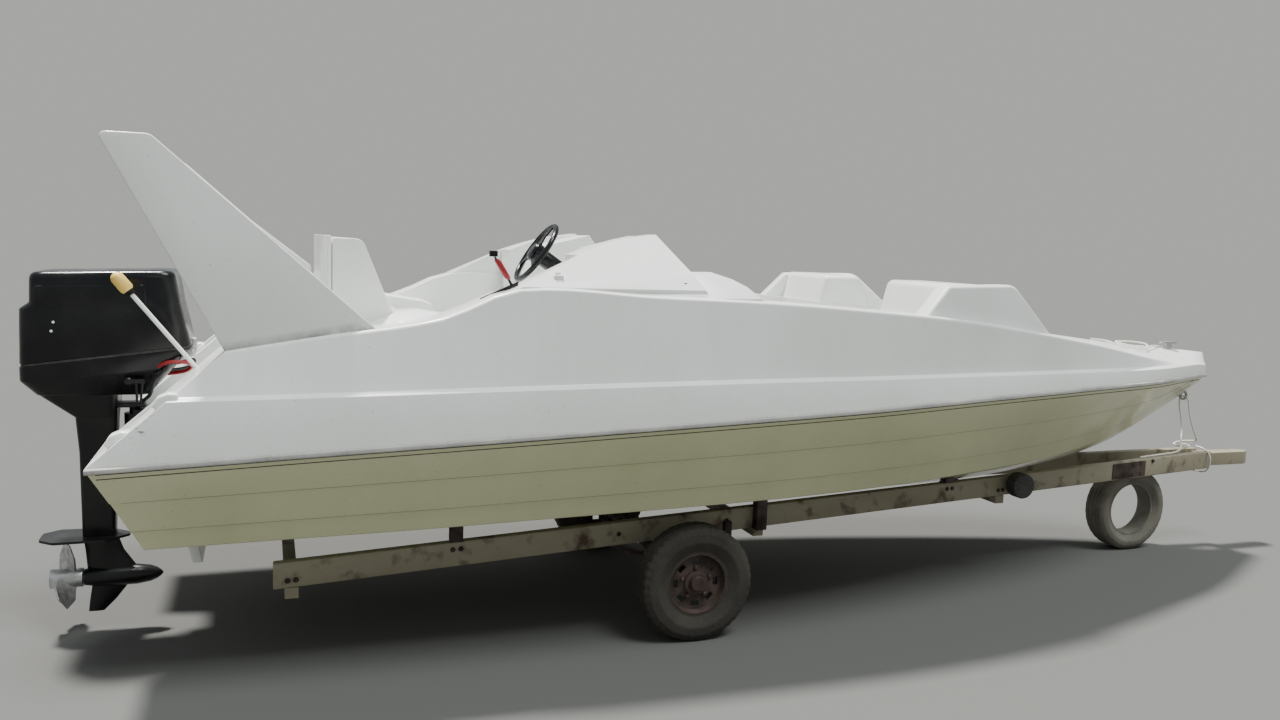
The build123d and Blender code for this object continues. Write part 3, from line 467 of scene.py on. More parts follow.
def curved(points, steps=10):
    """Smooth line through places."""
    result = []
    for i in range(len(points) - 1):
        p0, p1 = points[max(i - 1, 0)], points[i]
        p2, p3 = points[i + 1], points[min(i + 2, len(points) - 1)]
        for step in range(steps):
            t = step / steps
            result.append(0.5 * (2 * p1 + (p2 - p0) * t + (2 * p0 - 5 * p1 + 4 * p2 - p3) * t * t
                                 + (3 * p1 - p0 - 3 * p2 + p3) * t ** 3))
    return result + [points[-1]]


def rounded(points, radii, steps=4):
    """Two-dimensional outline with an arc in place of each corner that has a radius."""
    result = []
    count = len(points)
    for i, (here, radius) in enumerate(zip(points, radii)):
        if radius == 0:
            result.append(here)
            continue
        before, after = Vector(points[i - 1]), Vector(points[(i + 1) % count])
        corner = Vector(here)
        inward, outward = corner - before, after - corner
        turn = inward.angle(outward)
        cut = min(radius * tan(turn / 2), LONGEST_CUT * inward.length, LONGEST_CUT * outward.length)
        start, end = corner - inward.normalized() * cut, corner + outward.normalized() * cut
        for step in range(steps + 1):
            share = step / steps
            result.append(tuple(start.lerp(corner, share).lerp(corner.lerp(end, share), share)))
    return result


def tube(points, radius, sides=12, lobes=0, twist=0.0, depth=0.0):
    """Rings of a round tube along places, or of a rope's twisted strands."""
    rings, side, run = [], None, 0.0
    for i, here in enumerate(points):
        ahead = (points[min(i + 1, len(points) - 1)] - points[max(i - 1, 0)]).normalized()
        side = ahead.orthogonal() if side is None else side - ahead * side.dot(ahead)
        side.normalize()
        up = ahead.cross(side)
        run += (here - points[i - 1]).length if i else 0.0
        ring = []
        for j in range(sides):
            turn = 2 * pi * j / sides
            reach = radius * (1 - depth * abs(sin(lobes / 2 * (turn - twist * run))))
            ring.append(here + side * (reach * cos(turn)) + up * (reach * sin(turn)))
        rings.append(ring)
    return rings


def node_copy(node, name, width, segments=3, sink=0.0, settle=None):
    """A CAD node's own shape with its edges rounded, in place of the node; sink lowers its foot into the
    deck, and settle moves each of its corners."""
    form = bmesh.new()
    form.from_mesh(bpy.data.objects[node].data)
    bmesh.ops.remove_doubles(form, verts=form.verts, dist=NODE_WELD)
    bmesh.ops.dissolve_limit(form, angle_limit=radians(FLAT_ANGLE), verts=form.verts, edges=form.edges)
    form.normal_update()
    feet = {face for face in form.faces if sink and face.normal.z < FOOT_NORMAL}
    weights = form.edges.layers.float.new("bevel_weight_edge")
    for edge in form.edges:
        sharp = edge.calc_face_angle(0.0) > radians(SHARP_ANGLE)
        edge[weights] = 1.0 if sharp and not feet.intersection(edge.link_faces) else 0.0
    for corner in {corner for face in feet for corner in face.verts}:
        corner.co.z -= sink
    for corner in form.verts:
        if settle:
            settle(corner.co)
    piece = add_piece(name, finished(form), node)
    rounded_edges(piece, width, segments, limit="WEIGHT")
    smooth(piece)
    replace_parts(piece, node)
    return piece


# Hull and deck


def fair(x, column):
    """Fair curve through a station column: cubic between rows, slopes from the neighbouring rows."""
    last = len(STATIONS) - 1
    low = max(i for i in range(last) if x >= STATIONS[i][X] or i == 0)
    slopes = []
    for i in (low, low + 1):
        before, after = STATIONS[max(i - 1, 0)], STATIONS[min(i + 1, last)]
        slopes.append((after[column] - before[column]) / (after[X] - before[X]))
    (x0, y0), (x1, y1) = ((STATIONS[i][X], STATIONS[i][column]) for i in (low, low + 1))
    span, t = x1 - x0, (x - x0) / (x1 - x0)
    return (y0 * (1 + 2 * t) * (1 - t) ** 2 + y1 * t * t * (3 - 2 * t)
            + span * (slopes[0] * t * (1 - t) ** 2 + slopes[1] * t * t * (t - 1)))


def mirrored_ring(x, half):
    """Closed ring at x from a half outline in y and z whose ends may lie on the middle plane."""
    other = [(-y, z) for y, z in reversed(half) if y > 1e-6]
    return [at(x, y, z) for y, z in half + other]


def topside(x):
    """Half breadth and height of rub rail and chine."""
    return [fair(x, column) for column in (RAIL_B, RAIL_Z, CHINE_B, CHINE_Z)]


def lap_at(x, share):
    """Place of a strake's lap between rub rail and chine, and how deep it is."""
    b, s, c, zc = topside(x)
    return b - share * (b - c), s - share * (s - zc), LAP * min(1.0, b / STATIONS[0][CHINE_B])


def hull_ring(x):
    b, s, c, zc = topside(x)
    half = [(0.0, fair(x, KEEL_Z)), (c, zc)]
    for share in reversed(LAP_SHARES):
        y, z, lap = lap_at(x, share)
        half += [(y - lap, z), (y, z)]
    half.append((b, s))
    return mirrored_ring(x, rounded(half, [0, CHINE_R] + LAP_RADII * len(LAP_SHARES) + [0], steps=2))


def deck_ring(x):
    b, s, knuckle, edge, edge_z = (fair(x, column) for column in (RAIL_B, RAIL_Z, KNUCKLE_Z, EDGE_B, EDGE_Z))
    share, side = min(1.0, b / SHOULDER_FULL_B), b * (1 - TUMBLE)
    half = [(b, s), (side + SHOULDER_OUT * share, knuckle - KNUCKLE_DROP * share),
            (side - SHOULDER_IN * share, knuckle + SHOULDER_RISE * share), (edge, edge_z),
            (0.0, fair(x, MIDDLE_Z))]
    return mirrored_ring(x, rounded(half, (0, *SHOULDER_RADII, EDGE_R, 0)))


def cockpit_outline(x_from, x_to):
    xs = [x_from] + [row[X] for row in STATIONS if x_from < row[X] < x_to] + [x_to]
    half = [(x, fair(x, EDGE_B) - SIDE_DECK) for x in xs]
    outline = half + [(x, -y) for x, y in reversed(half)]
    radii = [0.0] * len(outline)
    for i in (0, len(half) - 1, len(half), len(outline) - 1):
        radii[i] = COCKPIT_CORNER
    return rounded(outline, radii, steps=CORNER_STEPS)


def oblong(x_from, x_to, half):
    return [(x_from, half), (x_to, half), (x_to, -half), (x_from, -half)]


def space_meshes():
    """The motor well, cockpits and walkway, to cut from hull and deck alike."""
    (head_x, _), (foot_x, _) = BOARD_FRONT
    notch = [(-BEYOND, OPEN_TOP), (head_x, OPEN_TOP), *BOARD_FRONT, (foot_x, 0), (-BEYOND, 0)]
    well = rounded(oblong(head_x - WELL_LAP, WELL_END_X, WELL_HALF), (0, WELL_CORNER, WELL_CORNER, 0))
    walk = oblong(COCKPIT_FORE_X - WALK_LAP, BOW_WELL_AFT_X + WALK_LAP, WALK_HALF)
    cockpit = cockpit_outline(COCKPIT_AFT_X, COCKPIT_FORE_X)
    bow_well = cockpit_outline(BOW_WELL_AFT_X, BOW_WELL_FORE_X)
    return [side_prism(notch, -WELL_HALF, WELL_HALF)] + [
        plan_prism(outline, floor, OPEN_TOP) for outline, floor in
        ((well, WELL_FLOOR_Z), (cockpit, SOLE_Z), (walk, BOW_SOLE_Z), (bow_well, BOW_SOLE_Z))]


def rake_mesh():
    """What lies behind the raked stern below the rub rail."""
    rake = [(-BEYOND, STERN_Z), (0, STERN_Z), RAKE_FOOT, (RAKE_FOOT[0], 0), (-BEYOND, 0)]
    return side_prism(rake, -BEYOND, BEYOND)


def build_hull_and_deck():
    xs = [STATIONS[-1][X] * (1 - (1 - i / SECTIONS) ** BOW_CROWDING) for i in range(SECTIONS + 1)]
    rise = QUARTER_HEAD[0] / (QUARTER_HEAD[1] - STERN_Z) * (OPEN_TOP - STERN_Z)
    quarter = [(-BEYOND, STERN_Z), (0, STERN_Z), (rise, OPEN_TOP), (-BEYOND, OPEN_TOP)]
    hull = add_piece("hull_moulding", loft([hull_ring(x) for x in xs]), "hull")
    hull.data.materials.append(SLOT_MATERIALS["white_gelcoat"])
    deck = add_piece("deck_moulding", loft([deck_ring(x) for x in xs]), "deck")
    carve(hull, rake_mesh())
    carve(deck, side_prism(quarter, -BEYOND, BEYOND))
    for piece in (hull, deck):
        for mesh in space_meshes():
            carve(piece, mesh, 1 if piece is hull else 0)
    rounded_edges(deck, DECK_SOFT, angle=DECK_ANGLE)
    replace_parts(smooth(hull, HULL_ANGLE), "hull")
    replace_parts(smooth(deck, DECK_ANGLE), "deck")


# Fins, as x and z, and the inner half of each, set further forward
FIN_Y, FIN_LOW, FIN_HIGH, FIN_THICK = 0.975, 1.4, 2.353, (0.12, 0.062)
FIN = ((0.559, FIN_LOW), (1.329, FIN_LOW), (0.246, FIN_HIGH), (0.05, FIN_HIGH))
INNER_FIN = ((0.7, FIN_LOW), (1.0, FIN_LOW), (0.86, 1.8), (0.856, 1.815), (0.856, 1.846), (0.33, 2.248),
             (0.18, 2.248))
INNER_FIN_DEEP = 0.03
FIN_RADII, INNER_FIN_RADII = (0, 0, 0.05, 0.028), (0, 0, 0, 0.01, 0.02, 0.04, 0.02)


def fin_mesh(outline, radii, y_out):
    """Slab that thins towards its tip."""

    def inboard(z):
        share = (z - FIN_LOW) / (FIN_HIGH - FIN_LOW)
        return y_out - FIN_THICK[0] - share * (FIN_THICK[1] - FIN_THICK[0])

    return prism(rounded(outline, radii, steps=CORNER_STEPS), lambda x, z: at(x, y_out, z),
                 lambda x, z: at(x, inboard(z), z))


def build_fin(side, way):
    mesh = joined([fin_mesh(FIN, FIN_RADII, FIN_Y),
                   fin_mesh(INNER_FIN, INNER_FIN_RADII, FIN_Y - INNER_FIN_DEEP)])
    if way < 0:
        mesh.transform(Matrix.Scale(-1, 4, (0, 1, 0)))
        mesh.flip_normals()
    stand_in("fin_moulding_" + side, mesh, "fin_" + side, 0.014, 4, material=FIN_WHITE)


WING_AFT, WING_FORE, WING_THICK = (3.88, 0.994), (4.84, 0.814), 0.105
WING = ((-0.03, 1.62), (0.17, 1.824), (0.665, 1.834), (1.085, 1.48), (-0.03, 1.48))
WING_RADII = (0, 0.03, 0.13, 0, 0)


def build_wing(side, way):
    """Upright wing whose outer face stands on a slanting line in plan."""
    along = Vector((WING_FORE[0] - WING_AFT[0], WING_FORE[1] - WING_AFT[1])).normalized()

    def place(run, z, inward):
        y = WING_AFT[1] + along.y * run - along.x * inward
        return at(WING_AFT[0] + along.x * run + along.y * inward, way * y, z)

    mesh = prism(rounded(WING, WING_RADII, steps=8), lambda run, z: place(run, z, 0.0),
                 lambda run, z: place(run, z, WING_THICK))
    stand_in("bow_wing_moulding_" + side, mesh, "bow_wing_" + side, 0.02, 4)


SEAT_HALF, SEAT_SLAB, SEAT_SLAB_Z = 0.705, (0.934, 0.95), (1.45, 1.976)
SEAT_PANEL = ((0.956, 0.862), (0.956, 1.966), (1.086, 1.966), (1.225, 1.624), (1.33, 1.596), (1.33, 0.862))
SEAT_RADII, CORE_LAP, CORE_IN, CORE_DROP = (0, 0.012, 0.055, 0.11, 0, 0), 0.01, 0.015, 0.03
ARM_Y, ARM_LOW_Z, ARM_DROP, ARM_RADII = (0.565, 0.72, 0.83), 0.862, 0.038, (0, 0.02, 0.06, 0, 0)
ARM_TOPS = ((0.954, 1.545), (1.12, 1.588), (1.24, 1.64), (1.33, 1.65), (1.54, 1.618), (1.582, 1.6),
            (1.6, 1.565))
# Oval recess in each arm: its middle, half length and half width, and its rows of rise and growth
ARM_DISH, DISH_ROWS = (1.477, 0.7, 1.616, 0.058, 0.032), ((0.0, 0.55), (0.006, 0.9), (0.06, 1.6))


def build_seat():
    """Rear seat back: slab on the deck, padded-looking panel ahead of it and an arm on each side."""
    panel = side_prism(rounded(SEAT_PANEL, SEAT_RADII, steps=8), -SEAT_HALF, SEAT_HALF)
    core = box_mesh((SEAT_SLAB[1] - CORE_LAP, SEAT_PANEL[0][0] + CORE_LAP),
                    (CORE_IN - SEAT_HALF, SEAT_HALF - CORE_IN), (SEAT_SLAB_Z[0], SEAT_SLAB_Z[1] - CORE_DROP))
    meshes = [box_mesh(SEAT_SLAB, (-SEAT_HALF, SEAT_HALF), SEAT_SLAB_Z), core, panel]
    for way in (1, -1):
        rings = []
        for x, top in ARM_TOPS:
            section = ((ARM_Y[0], ARM_LOW_Z), (ARM_Y[0], top), (ARM_Y[1], top), (ARM_Y[2], top - ARM_DROP),
                       (ARM_Y[2], ARM_LOW_Z))
            rings.append([at(x, way * y, z) for y, z in rounded(section, ARM_RADII)])
        meshes.append(loft(rings))
    piece = rounded_edges(add_piece("rear_seat_back_moulding", meshes, "rear_seat_back"), 0.011, 4)
    x, y, z, long, wide = ARM_DISH
    for way in (1, -1):
        carve(piece, loft([[at(x + long * grow * c, way * y + wide * grow * s, z + rise)
                            for c, s in circle(32)] for rise, grow in DISH_ROWS]))
    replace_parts(smooth(piece), "rear_seat_back")


# CAD nodes whose own shape is kept with rounded edges: the piece's name, edge width and segments
NODE_COPIES = {
    "forward_benches": ("forward_bench_mouldings", 0.025, 4),
    "rear_bench": ("rear_bench_moulding", 0.025, 4), "leaf_springs": ("spring_leaves", 0.0015, 2),
    "transom_board": ("transom_board_moulding", 0.006, 2), "rub_rail": ("rub_rail_strip", 0.004, 3),
    "steering_boss": ("steering_boss_moulding", 0.004, 2), "bow_cleat": ("bow_cleat_casting", 0.005, 3),
    "bow_eye": ("bow_eye_casting", 0.003, 3), "propeller": ("propeller_casting", 0.003, 2),
    "swivel_bracket": ("swivel_casting", 0.006, 3), "steering_yoke": ("yoke_casting", 0.004, 2),
    "clamp_bracket": ("clamp_casting", 0.005, 2),
}
STEEL_COPIES = {"trailer_rail_port": 0.006, "trailer_rail_starboard": 0.006, "trailer_crossbars": 0.004,
                "coupler": 0.006, "hull_supports": 0.004, "bow_rollers": 0.008, "axle": 0.003}
POD_SINK, BLOCK_SINK, FOOT_INSET = 0.004, 0.02, 0.014


def keep_off_edge(corner):
    """Holds a moulding's foot inside the deck's outer edge."""
    limit = fair(corner.x - STERN, EDGE_B) - FOOT_INSET
    corner.y = max(-limit, min(limit, corner.y))


def build_copies():
    for node, row in NODE_COPIES.items():
        node_copy(node, *row)
    for node, width in STEEL_COPIES.items():
        node_copy(node, node + "_steel", width)
    for side, _ in SIDES:
        node_copy("console_" + side, "console_moulding_" + side, 0.02, 4)
        node_copy("pod_" + side, "pod_moulding_" + side, 0.022, 4, POD_SINK, keep_off_edge)
        node_copy("bow_block_" + side, "bow_block_moulding_" + side, 0.035, 5, BLOCK_SINK)
        node_copy("rim_" + side, "steel_rim_" + side, 0.0025, 2)


# Outboard motor, its sections as aft x and z, fore x and z, half breadth and corner radius
SEAM = (-0.392, 1.33, 0.34, 1.418)
COWL_ROWS = (
    (-0.391, 1.34, 0.339, 1.428, 0.211, 0.07),
    (-0.388, 1.596, 0.302, 1.6, 0.21, 0.08),
    (-0.345, 1.626, 0.294, 1.628, 0.207, 0.062),
    (-0.343, 1.736, 0.274, 1.752, 0.203, 0.062),
    (-0.338, 1.753, 0.268, 1.771, 0.196, 0.058),
    (-0.324, 1.764, 0.252, 1.782, 0.184, 0.052),
    (-0.3, 1.767, 0.228, 1.785, 0.162, 0.044),
)
GASKET_ROWS = ((-0.386, 1.328, 0.334, 1.416, 0.207, 0.066), (-0.386, 1.342, 0.334, 1.43, 0.207, 0.066))
PAN_ROWS = ((-0.33, 1.19, 0.15, 1.19, 0.15, 0.05), (-0.392, 1.262, 0.262, 1.322, 0.204, 0.066),
            (*SEAM, 0.214, 0.07))
LEG_ROWS = ((-0.33, 1.19, 0.01, 1.19, 0.13, 0.05), (-0.184, 1.072, -0.002, 1.072, 0.08, 0.034),
            (-0.172, 0.9, -0.01, 0.9, 0.062, 0.028), (-0.168, 0.482, -0.022, 0.482, 0.044, 0.02))
COWL_PANEL, COWL_PANEL_OUT = ((-0.322, 1.48), (0.16, 1.48), (0.144, 1.718), (-0.316, 1.704)), (0.2075, 0.212)
PROP_Z = 0.27
TORPEDO = ((-0.166, 0.04), (-0.12, 0.047), (-0.05, 0.05), (0.07, 0.05), (0.13, 0.04), (0.16, 0.027),
           (0.178, 0.013), (0.186, 0.002))

# Parts under water as aft x, fore x, half thickness and z
STRUT = ((-0.15, 0.096, 0.024, PROP_Z), (-0.16, 0.01, 0.026, 0.4), (-0.17, -0.016, 0.036, 0.476))
SKEG = ((-0.152, -0.084, 0.004, 0.095), (-0.146, -0.03, 0.006, 0.15), (-0.128, 0.062, 0.008, PROP_Z))
BLADE_STEPS, BLADE_FULLNESS = 8, 0.7
PLATE = ((-0.352, 0.06), (-0.284, 0.122), (-0.06, 0.112), (0.04, 0.02))
PLATE_R, PLATE_Z = 0.03, (0.47, 0.482)
# Small parts on cowl and pan
PANEL_ROOT, PANEL_R, DOTS, DOT_Y = 0.18, 0.024, ((-0.239, 1.539), (-0.248, 1.498)), -0.213
DOT_R, DOT_THICK, KNOB_AT, LINK_ROD_R, BREATHER_R = 0.006, 0.002, (0.065, -0.196, 1.262), 0.006, 0.009
KNOB = ((0.0, 0.0), (0.0, 0.018), (0.01, 0.018), (0.016, 0.012), (0.016, 0.0))
LINK_ARM = ((0.056, 0.135), (-0.209, -0.199), (1.252, 1.272))
LINK_RODS = (((0.098, -0.2, 1.262), (0.098, -0.168, 1.16)), ((0.124, -0.2, 1.262), (0.114, -0.168, 1.16)))
BREATHER = ((0.226, -0.17, 1.352), (0.224, -0.214, 1.318), (0.178, -0.22, 1.262), (0.158, -0.208, 1.2),
            (0.12, -0.14, 1.16))
CHEEK = ((0.078, 0.8), (0.078, 1.06), (0.13, 1.116), (0.204, 1.116), (0.204, 0.98), (0.12, 0.8))
CHEEK_R, CHEEK_Y = 0.02, (0.06, 0.072)
LATCH = (((0.3, 0.345), (-0.05, 0.05), (1.36, 1.395)), ((0.318, 0.352), (-0.02, 0.02), (1.38, 1.45)))
HOSES = (
    ("fuel_hose", RED_PLASTIC, 0.009, ((0.196, -0.2, 1.33), (0.235, -0.223, 1.352), (0.29, -0.223, 1.355),
                                       (0.326, -0.2, 1.346), (0.338, -0.15, 1.325), (0.3, -0.1, 1.295),
                                       (0.225, -0.07, 1.28))),
    ("control_cables", SLOT_MATERIALS["black_rubber"], 0.01,
     ((0.225, 0.06, 1.28), (0.3, 0.08, 1.29), (0.33, 0.13, 1.31), (0.318, 0.18, 1.32),
      (0.25, 0.215, 1.3), (0.19, 0.195, 1.29))),
)


def body_ring(row):
    """Ring with rounded corners on a plane that slopes fore and aft."""
    aft, aft_z, fore, fore_z, half, corner = row
    rise = (fore_z - aft_z) / (fore - aft)
    plan = [(aft, -half), (fore, -half), (fore, half), (aft, half)]
    return [at(x, y, aft_z + rise * (x - aft))
            for x, y in rounded(plan, [corner] * 4, steps=CORNER_STEPS)]


def moulded_body(name, node, rows, soften, angle=MOTOR_ANGLE, slot=None):
    piece = add_piece(name, loft([body_ring(row) for row in rows]), node, slot=slot)
    return smooth(rounded_edges(piece, soften, angle=MOTOR_BEVEL_ANGLE), angle)


def blade_ring(x_aft, x_fore, half, z):
    """Lens-shaped ring, sharp at both ends, for struts and fins under water."""
    shares = [i / BLADE_STEPS for i in range(BLADE_STEPS + 1)]
    side = [(x_aft + (x_fore - x_aft) * share, half * sin(pi * share) ** BLADE_FULLNESS) for share in shares]
    return [at(x, y, z) for x, y in side] + [at(x, -y, z) for x, y in side[-2:0:-1]]


def hose_mesh(route, radius):
    return loft(tube(curved([at(*place) for place in route]), radius))


def build_linkage():
    """Shift linkage and breather hose on the pan's side, the swivel bracket's cheeks, hose and cables."""
    parts = [turned(KNOB, KNOB_AT, 24, -1), box_mesh(*LINK_ARM), hose_mesh(BREATHER, BREATHER_R)]
    parts += [loft(tube([at(*head), at(*foot)], LINK_ROD_R)) for head, foot in LINK_RODS]
    dress("shift_linkage", parts, "lower_pan", slot="black_paint")
    outline = rounded(CHEEK, [CHEEK_R] * len(CHEEK))
    cheeks = [side_prism(outline, *sorted(way * y for y in CHEEK_Y)) for way in (1, -1)]
    dress("swivel_cheeks", cheeks, "swivel_bracket", 0.003, 2)
    for name, material, radius, route in HOSES:
        dress(name, hose_mesh(route, radius), "lower_pan", angle=LINE_ANGLE, material=material,
              slot="black_plastic")


def build_cowl():
    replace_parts(moulded_body("cowl_moulding", "cowl", COWL_ROWS, 0.01, COWL_ANGLE), "cowl")
    moulded_body("cowl_gasket", "cowl", GASKET_ROWS, 0.001, slot="black_rubber")
    low, high = COWL_PANEL[0][1], COWL_PANEL[2][1]
    rise = (COWL_PANEL_OUT[1] - COWL_PANEL_OUT[0]) / (high - low)
    outline = rounded(COWL_PANEL, [PANEL_R] * len(COWL_PANEL), steps=5)
    panels = [prism(outline, lambda x, z: at(x, way * PANEL_ROOT, z),
                    lambda x, z: at(x, way * (COWL_PANEL_OUT[0] + rise * (z - low)), z)) for way in (1, -1)]
    dress("cowl_panels", panels, "cowl", 0.005)
    dots = [disc((x, DOT_Y, z), DOT_R, DOT_THICK, 16) for x, z in DOTS]
    add_piece("cowl_dots", dots, "cowl", slot="white_gelcoat")
    dress("cowl_latch", [box_mesh(*block) for block in LATCH], "lower_pan", 0.004, slot="aluminium")


def build_leg():
    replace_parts(moulded_body("pan_moulding", "lower_pan", PAN_ROWS, 0.01), "lower_pan")
    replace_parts(moulded_body("leg_casting", "midsection", LEG_ROWS, 0.012), "midsection")
    plate = [*PLATE, *((x, -y) for x, y in reversed(PLATE))]
    plate_outline = rounded(plate, [PLATE_R] * len(plate))
    parts = [loft([[at(x, r * c, PROP_Z + r * s) for c, s in circle(32)] for x, r in TORPEDO]),
             loft([blade_ring(*row) for row in STRUT]), loft([blade_ring(*row) for row in SKEG]),
             plan_prism(plate_outline, *PLATE_Z)]
    stand_in("gearcase_casting", parts, "gearcase")


# Running gear, its tyres as half breadth, radius of bead and tread, depth of grooves and number of blocks
WHEEL_AT, ROAD_TYRE = (2.715, 0.83, 0.296), (0.0825, 0.164, 0.296, 0.006, 40)
OLD_TYRE_AT, TONGUE_TYRE = (6.3, 0.0, 0.284), (0.086, 0.18, 0.284, 0.003, 34)

TYRE_FOOT, TYRE_SIDE_SHARES = (-0.7, -0.007, 0.004), ((-1.0, 0.42), (-0.96, 0.74))
TREAD_EDGE, GROOVES, GROOVE_HALF = ((-0.78, -0.006), (-0.6, 0.0)), (-0.36, 0.0, 0.36), (0.004, 0.002)
TYRE_RADII, TREAD_SKEW = [0.006, 0.03, 0.03, 0.008, 0.004], 0.012
SHOULDER_FROM, SHOULDER_DEEP = (0.45, 0.03), 0.8
# Rows of place across and radius of the hub cap, nuts and valve, and where they stand on the rim
CAP = ((0.036, 0.0), (0.036, 0.04), (0.056, 0.04), (0.066, 0.034), (0.07, 0.0))
NUT = ((0.022, 0.0), (0.022, 0.012), (0.036, 0.012), (0.04, 0.008), (0.04, 0.0))
VALVE = ((0.01, 0.0), (0.01, 0.004), (0.046, 0.003), (0.046, 0.0))
NUT_TURNS, NUT_CIRCLE, VALVE_AT = [radians(72 * i + 20) for i in range(5)], 0.078, (0.132, 0.02)
CLAMP_X, CLAMP_Y, CLAMP_Z, ROD_X, ROD_Y = 0.06, 0.034, (0.252, 0.264), 0.045, 0.032
ROD, ROD_NUT = (0.24, 0.372, 0.005, 10), (0.238, 0.252, 0.01, 6)


def tyre_profile(half, bead, radius, groove):
    """Half-worn tyre section as closed outline of place across and radius."""
    height = radius - bead
    side = [(TYRE_FOOT[0] * half, bead + rise) for rise in TYRE_FOOT[1:]]
    side += [(across * half, bead + share * height) for across, share in TYRE_SIDE_SHARES]
    side += [(across * half, radius + drop) for across, drop in TREAD_EDGE]
    tread = []
    for share in GROOVES:
        middle = share * half
        tread += [(middle - GROOVE_HALF[0], radius), (middle - GROOVE_HALF[1], radius - groove),
                  (middle + GROOVE_HALF[1], radius - groove), (middle + GROOVE_HALF[0], radius)]
    points = side + tread + [(-y, r) for y, r in reversed(side)]
    return rounded(points, [0] + TYRE_RADII + [0] * len(tread) + TYRE_RADII[::-1] + [0], steps=5)


def tyre_mesh(centre, half, bead, radius, groove, blocks):
    """Tyre about a line across, with notches between the tread's shoulder blocks."""
    x, y, z = centre
    rings = []
    for i in range(4 * blocks):
        turn = 2 * pi * i / (4 * blocks)
        ring = []
        for across, reach in tyre_profile(half, bead, radius, groove):
            shoulder = abs(across) > SHOULDER_FROM[0] * half and reach > radius - SHOULDER_FROM[1]
            out = reach - (groove * SHOULDER_DEEP if shoulder and i % 4 == 0 else 0.0)
            skewed = turn + TREAD_SKEW * across / half
            ring.append(at(x + out * cos(skewed), y + across, z + out * sin(skewed)))
        rings.append(ring)
    return welded(loft(rings + [rings[0]], caps=False))


def build_wheels():
    x, y, z = WHEEL_AT
    clamps = []
    for side, way in SIDES:
        centre = (x, way * y, z)
        stand_in("road_tyre_" + side, tyre_mesh(centre, *ROAD_TYRE), "tyre_" + side, angle=TURNED_ANGLE)
        parts = [turned(CAP, centre, 32, way)]
        parts += [turned(NUT, (x + NUT_CIRCLE * cos(turn), way * y, z + NUT_CIRCLE * sin(turn)), 6, way)
                  for turn in NUT_TURNS]
        parts.append(turned(VALVE, (x + VALVE_AT[0], way * y, z + VALVE_AT[1]), 10, way))
        dress("wheel_nuts_" + side, parts, "rim_" + side, angle=TURNED_ANGLE)
        rail_y = way * beam(x)[0]
        clamps.append(box_mesh((x - CLAMP_X, x + CLAMP_X), (rail_y - CLAMP_Y, rail_y + CLAMP_Y), CLAMP_Z))
        feet = [(x + along, rail_y + across) for along in (-ROD_X, ROD_X) for across in (-ROD_Y, ROD_Y)]
        clamps += [upright(foot, *size) for foot in feet for size in (ROD, ROD_NUT)]
    dress("spring_clamps", clamps, "axle", angle=TURNED_ANGLE)
    stand_in("tongue_tyre", tyre_mesh(OLD_TYRE_AT, *TONGUE_TYRE), "jockey_tyre", angle=TURNED_ANGLE,
             material=OLD_TYRE)


# Trailer
RAIL_REAR, RAIL_FRONT, BEAM_W = (0.7, 0.72, 0.44), (6.95, 0.062, 0.612), 0.055
# Bolt heads as x along the rail and height from its middle line
BOLTS = [(middle + along, rise) for middles, half, rise in
         (((0.78, 3.24, 5.0), 0.018, -0.025), ((1.54, 4.59), 0.02, 0.025))
         for middle in middles for along in (-half, half)]
BOLTS += [(6.02 + 0.075 * i, rise) for i in range(4) for rise in (-0.032, 0.032)]
BOLTS += [(2.395, 0.0), (3.035, 0.0), (6.24, 0.042), (6.36, 0.042)]
BOLT = ((-0.002, 0.0), (-0.002, 0.014), (0.002, 0.014), (0.002, 0.01), (0.009, 0.01), (0.009, 0.0))
SPLICE_XS, SPLICE = (5.98, 6.29), ((-0.004, -0.052), (0.005, -0.052), (0.005, 0.052), (-0.004, 0.052))


def beam(x):
    """Place across and height of a side rail's middle line."""
    share = (x - RAIL_REAR[0]) / (RAIL_FRONT[0] - RAIL_REAR[0])
    return tuple(rear + share * (front - rear) for rear, front in zip(RAIL_REAR[1:], RAIL_FRONT[1:]))


def build_trailer():
    heads, plates = [], []
    profile = [(BEAM_W / 2 + out, reach) for out, reach in BOLT]
    for x, rise in BOLTS:
        y, z = beam(x)
        heads += [turned(profile, (x, way * y, z + rise), 6, way) for way in (1, -1)]
    for way in (1, -1):
        plates.append(loft([[at(x, way * (beam(x)[0] + (BEAM_W / 2 + out)), beam(x)[1] + rise)
                             for out, rise in SPLICE] for x in SPLICE_XS]))
    add_piece("trailer_bolts", heads, "trailer_rail_port", slot="rusty_steel")
    dress("splice_plates", plates, "trailer_rail_port", 0.002, 2, slot="rusty_steel")


# Helm, throttle and fittings
HELM_AT, HELM_LEAN, HELM_RIM, HELM_GRIP = (1.95, -0.45, 1.923), 34.0, 0.161, 0.014
# Spoke rows as distance out, half width and depth, and hub rows as radius and depth
SPOKE_TURNS, SPOKE_THICK = (pi / 2, pi / 2 + 2 * pi / 3, pi / 2 - 2 * pi / 3), 0.004
SPOKE = ((0.02, 0.026, -0.006), (0.09, 0.015, -0.01), (HELM_RIM, 0.012, -0.003))
HUB = ((0.012, 0.18), (0.012, 0.04), (0.04, 0.038), (0.05, 0.01), (0.05, -0.018), (0.04, -0.03),
       (0.01, -0.033))


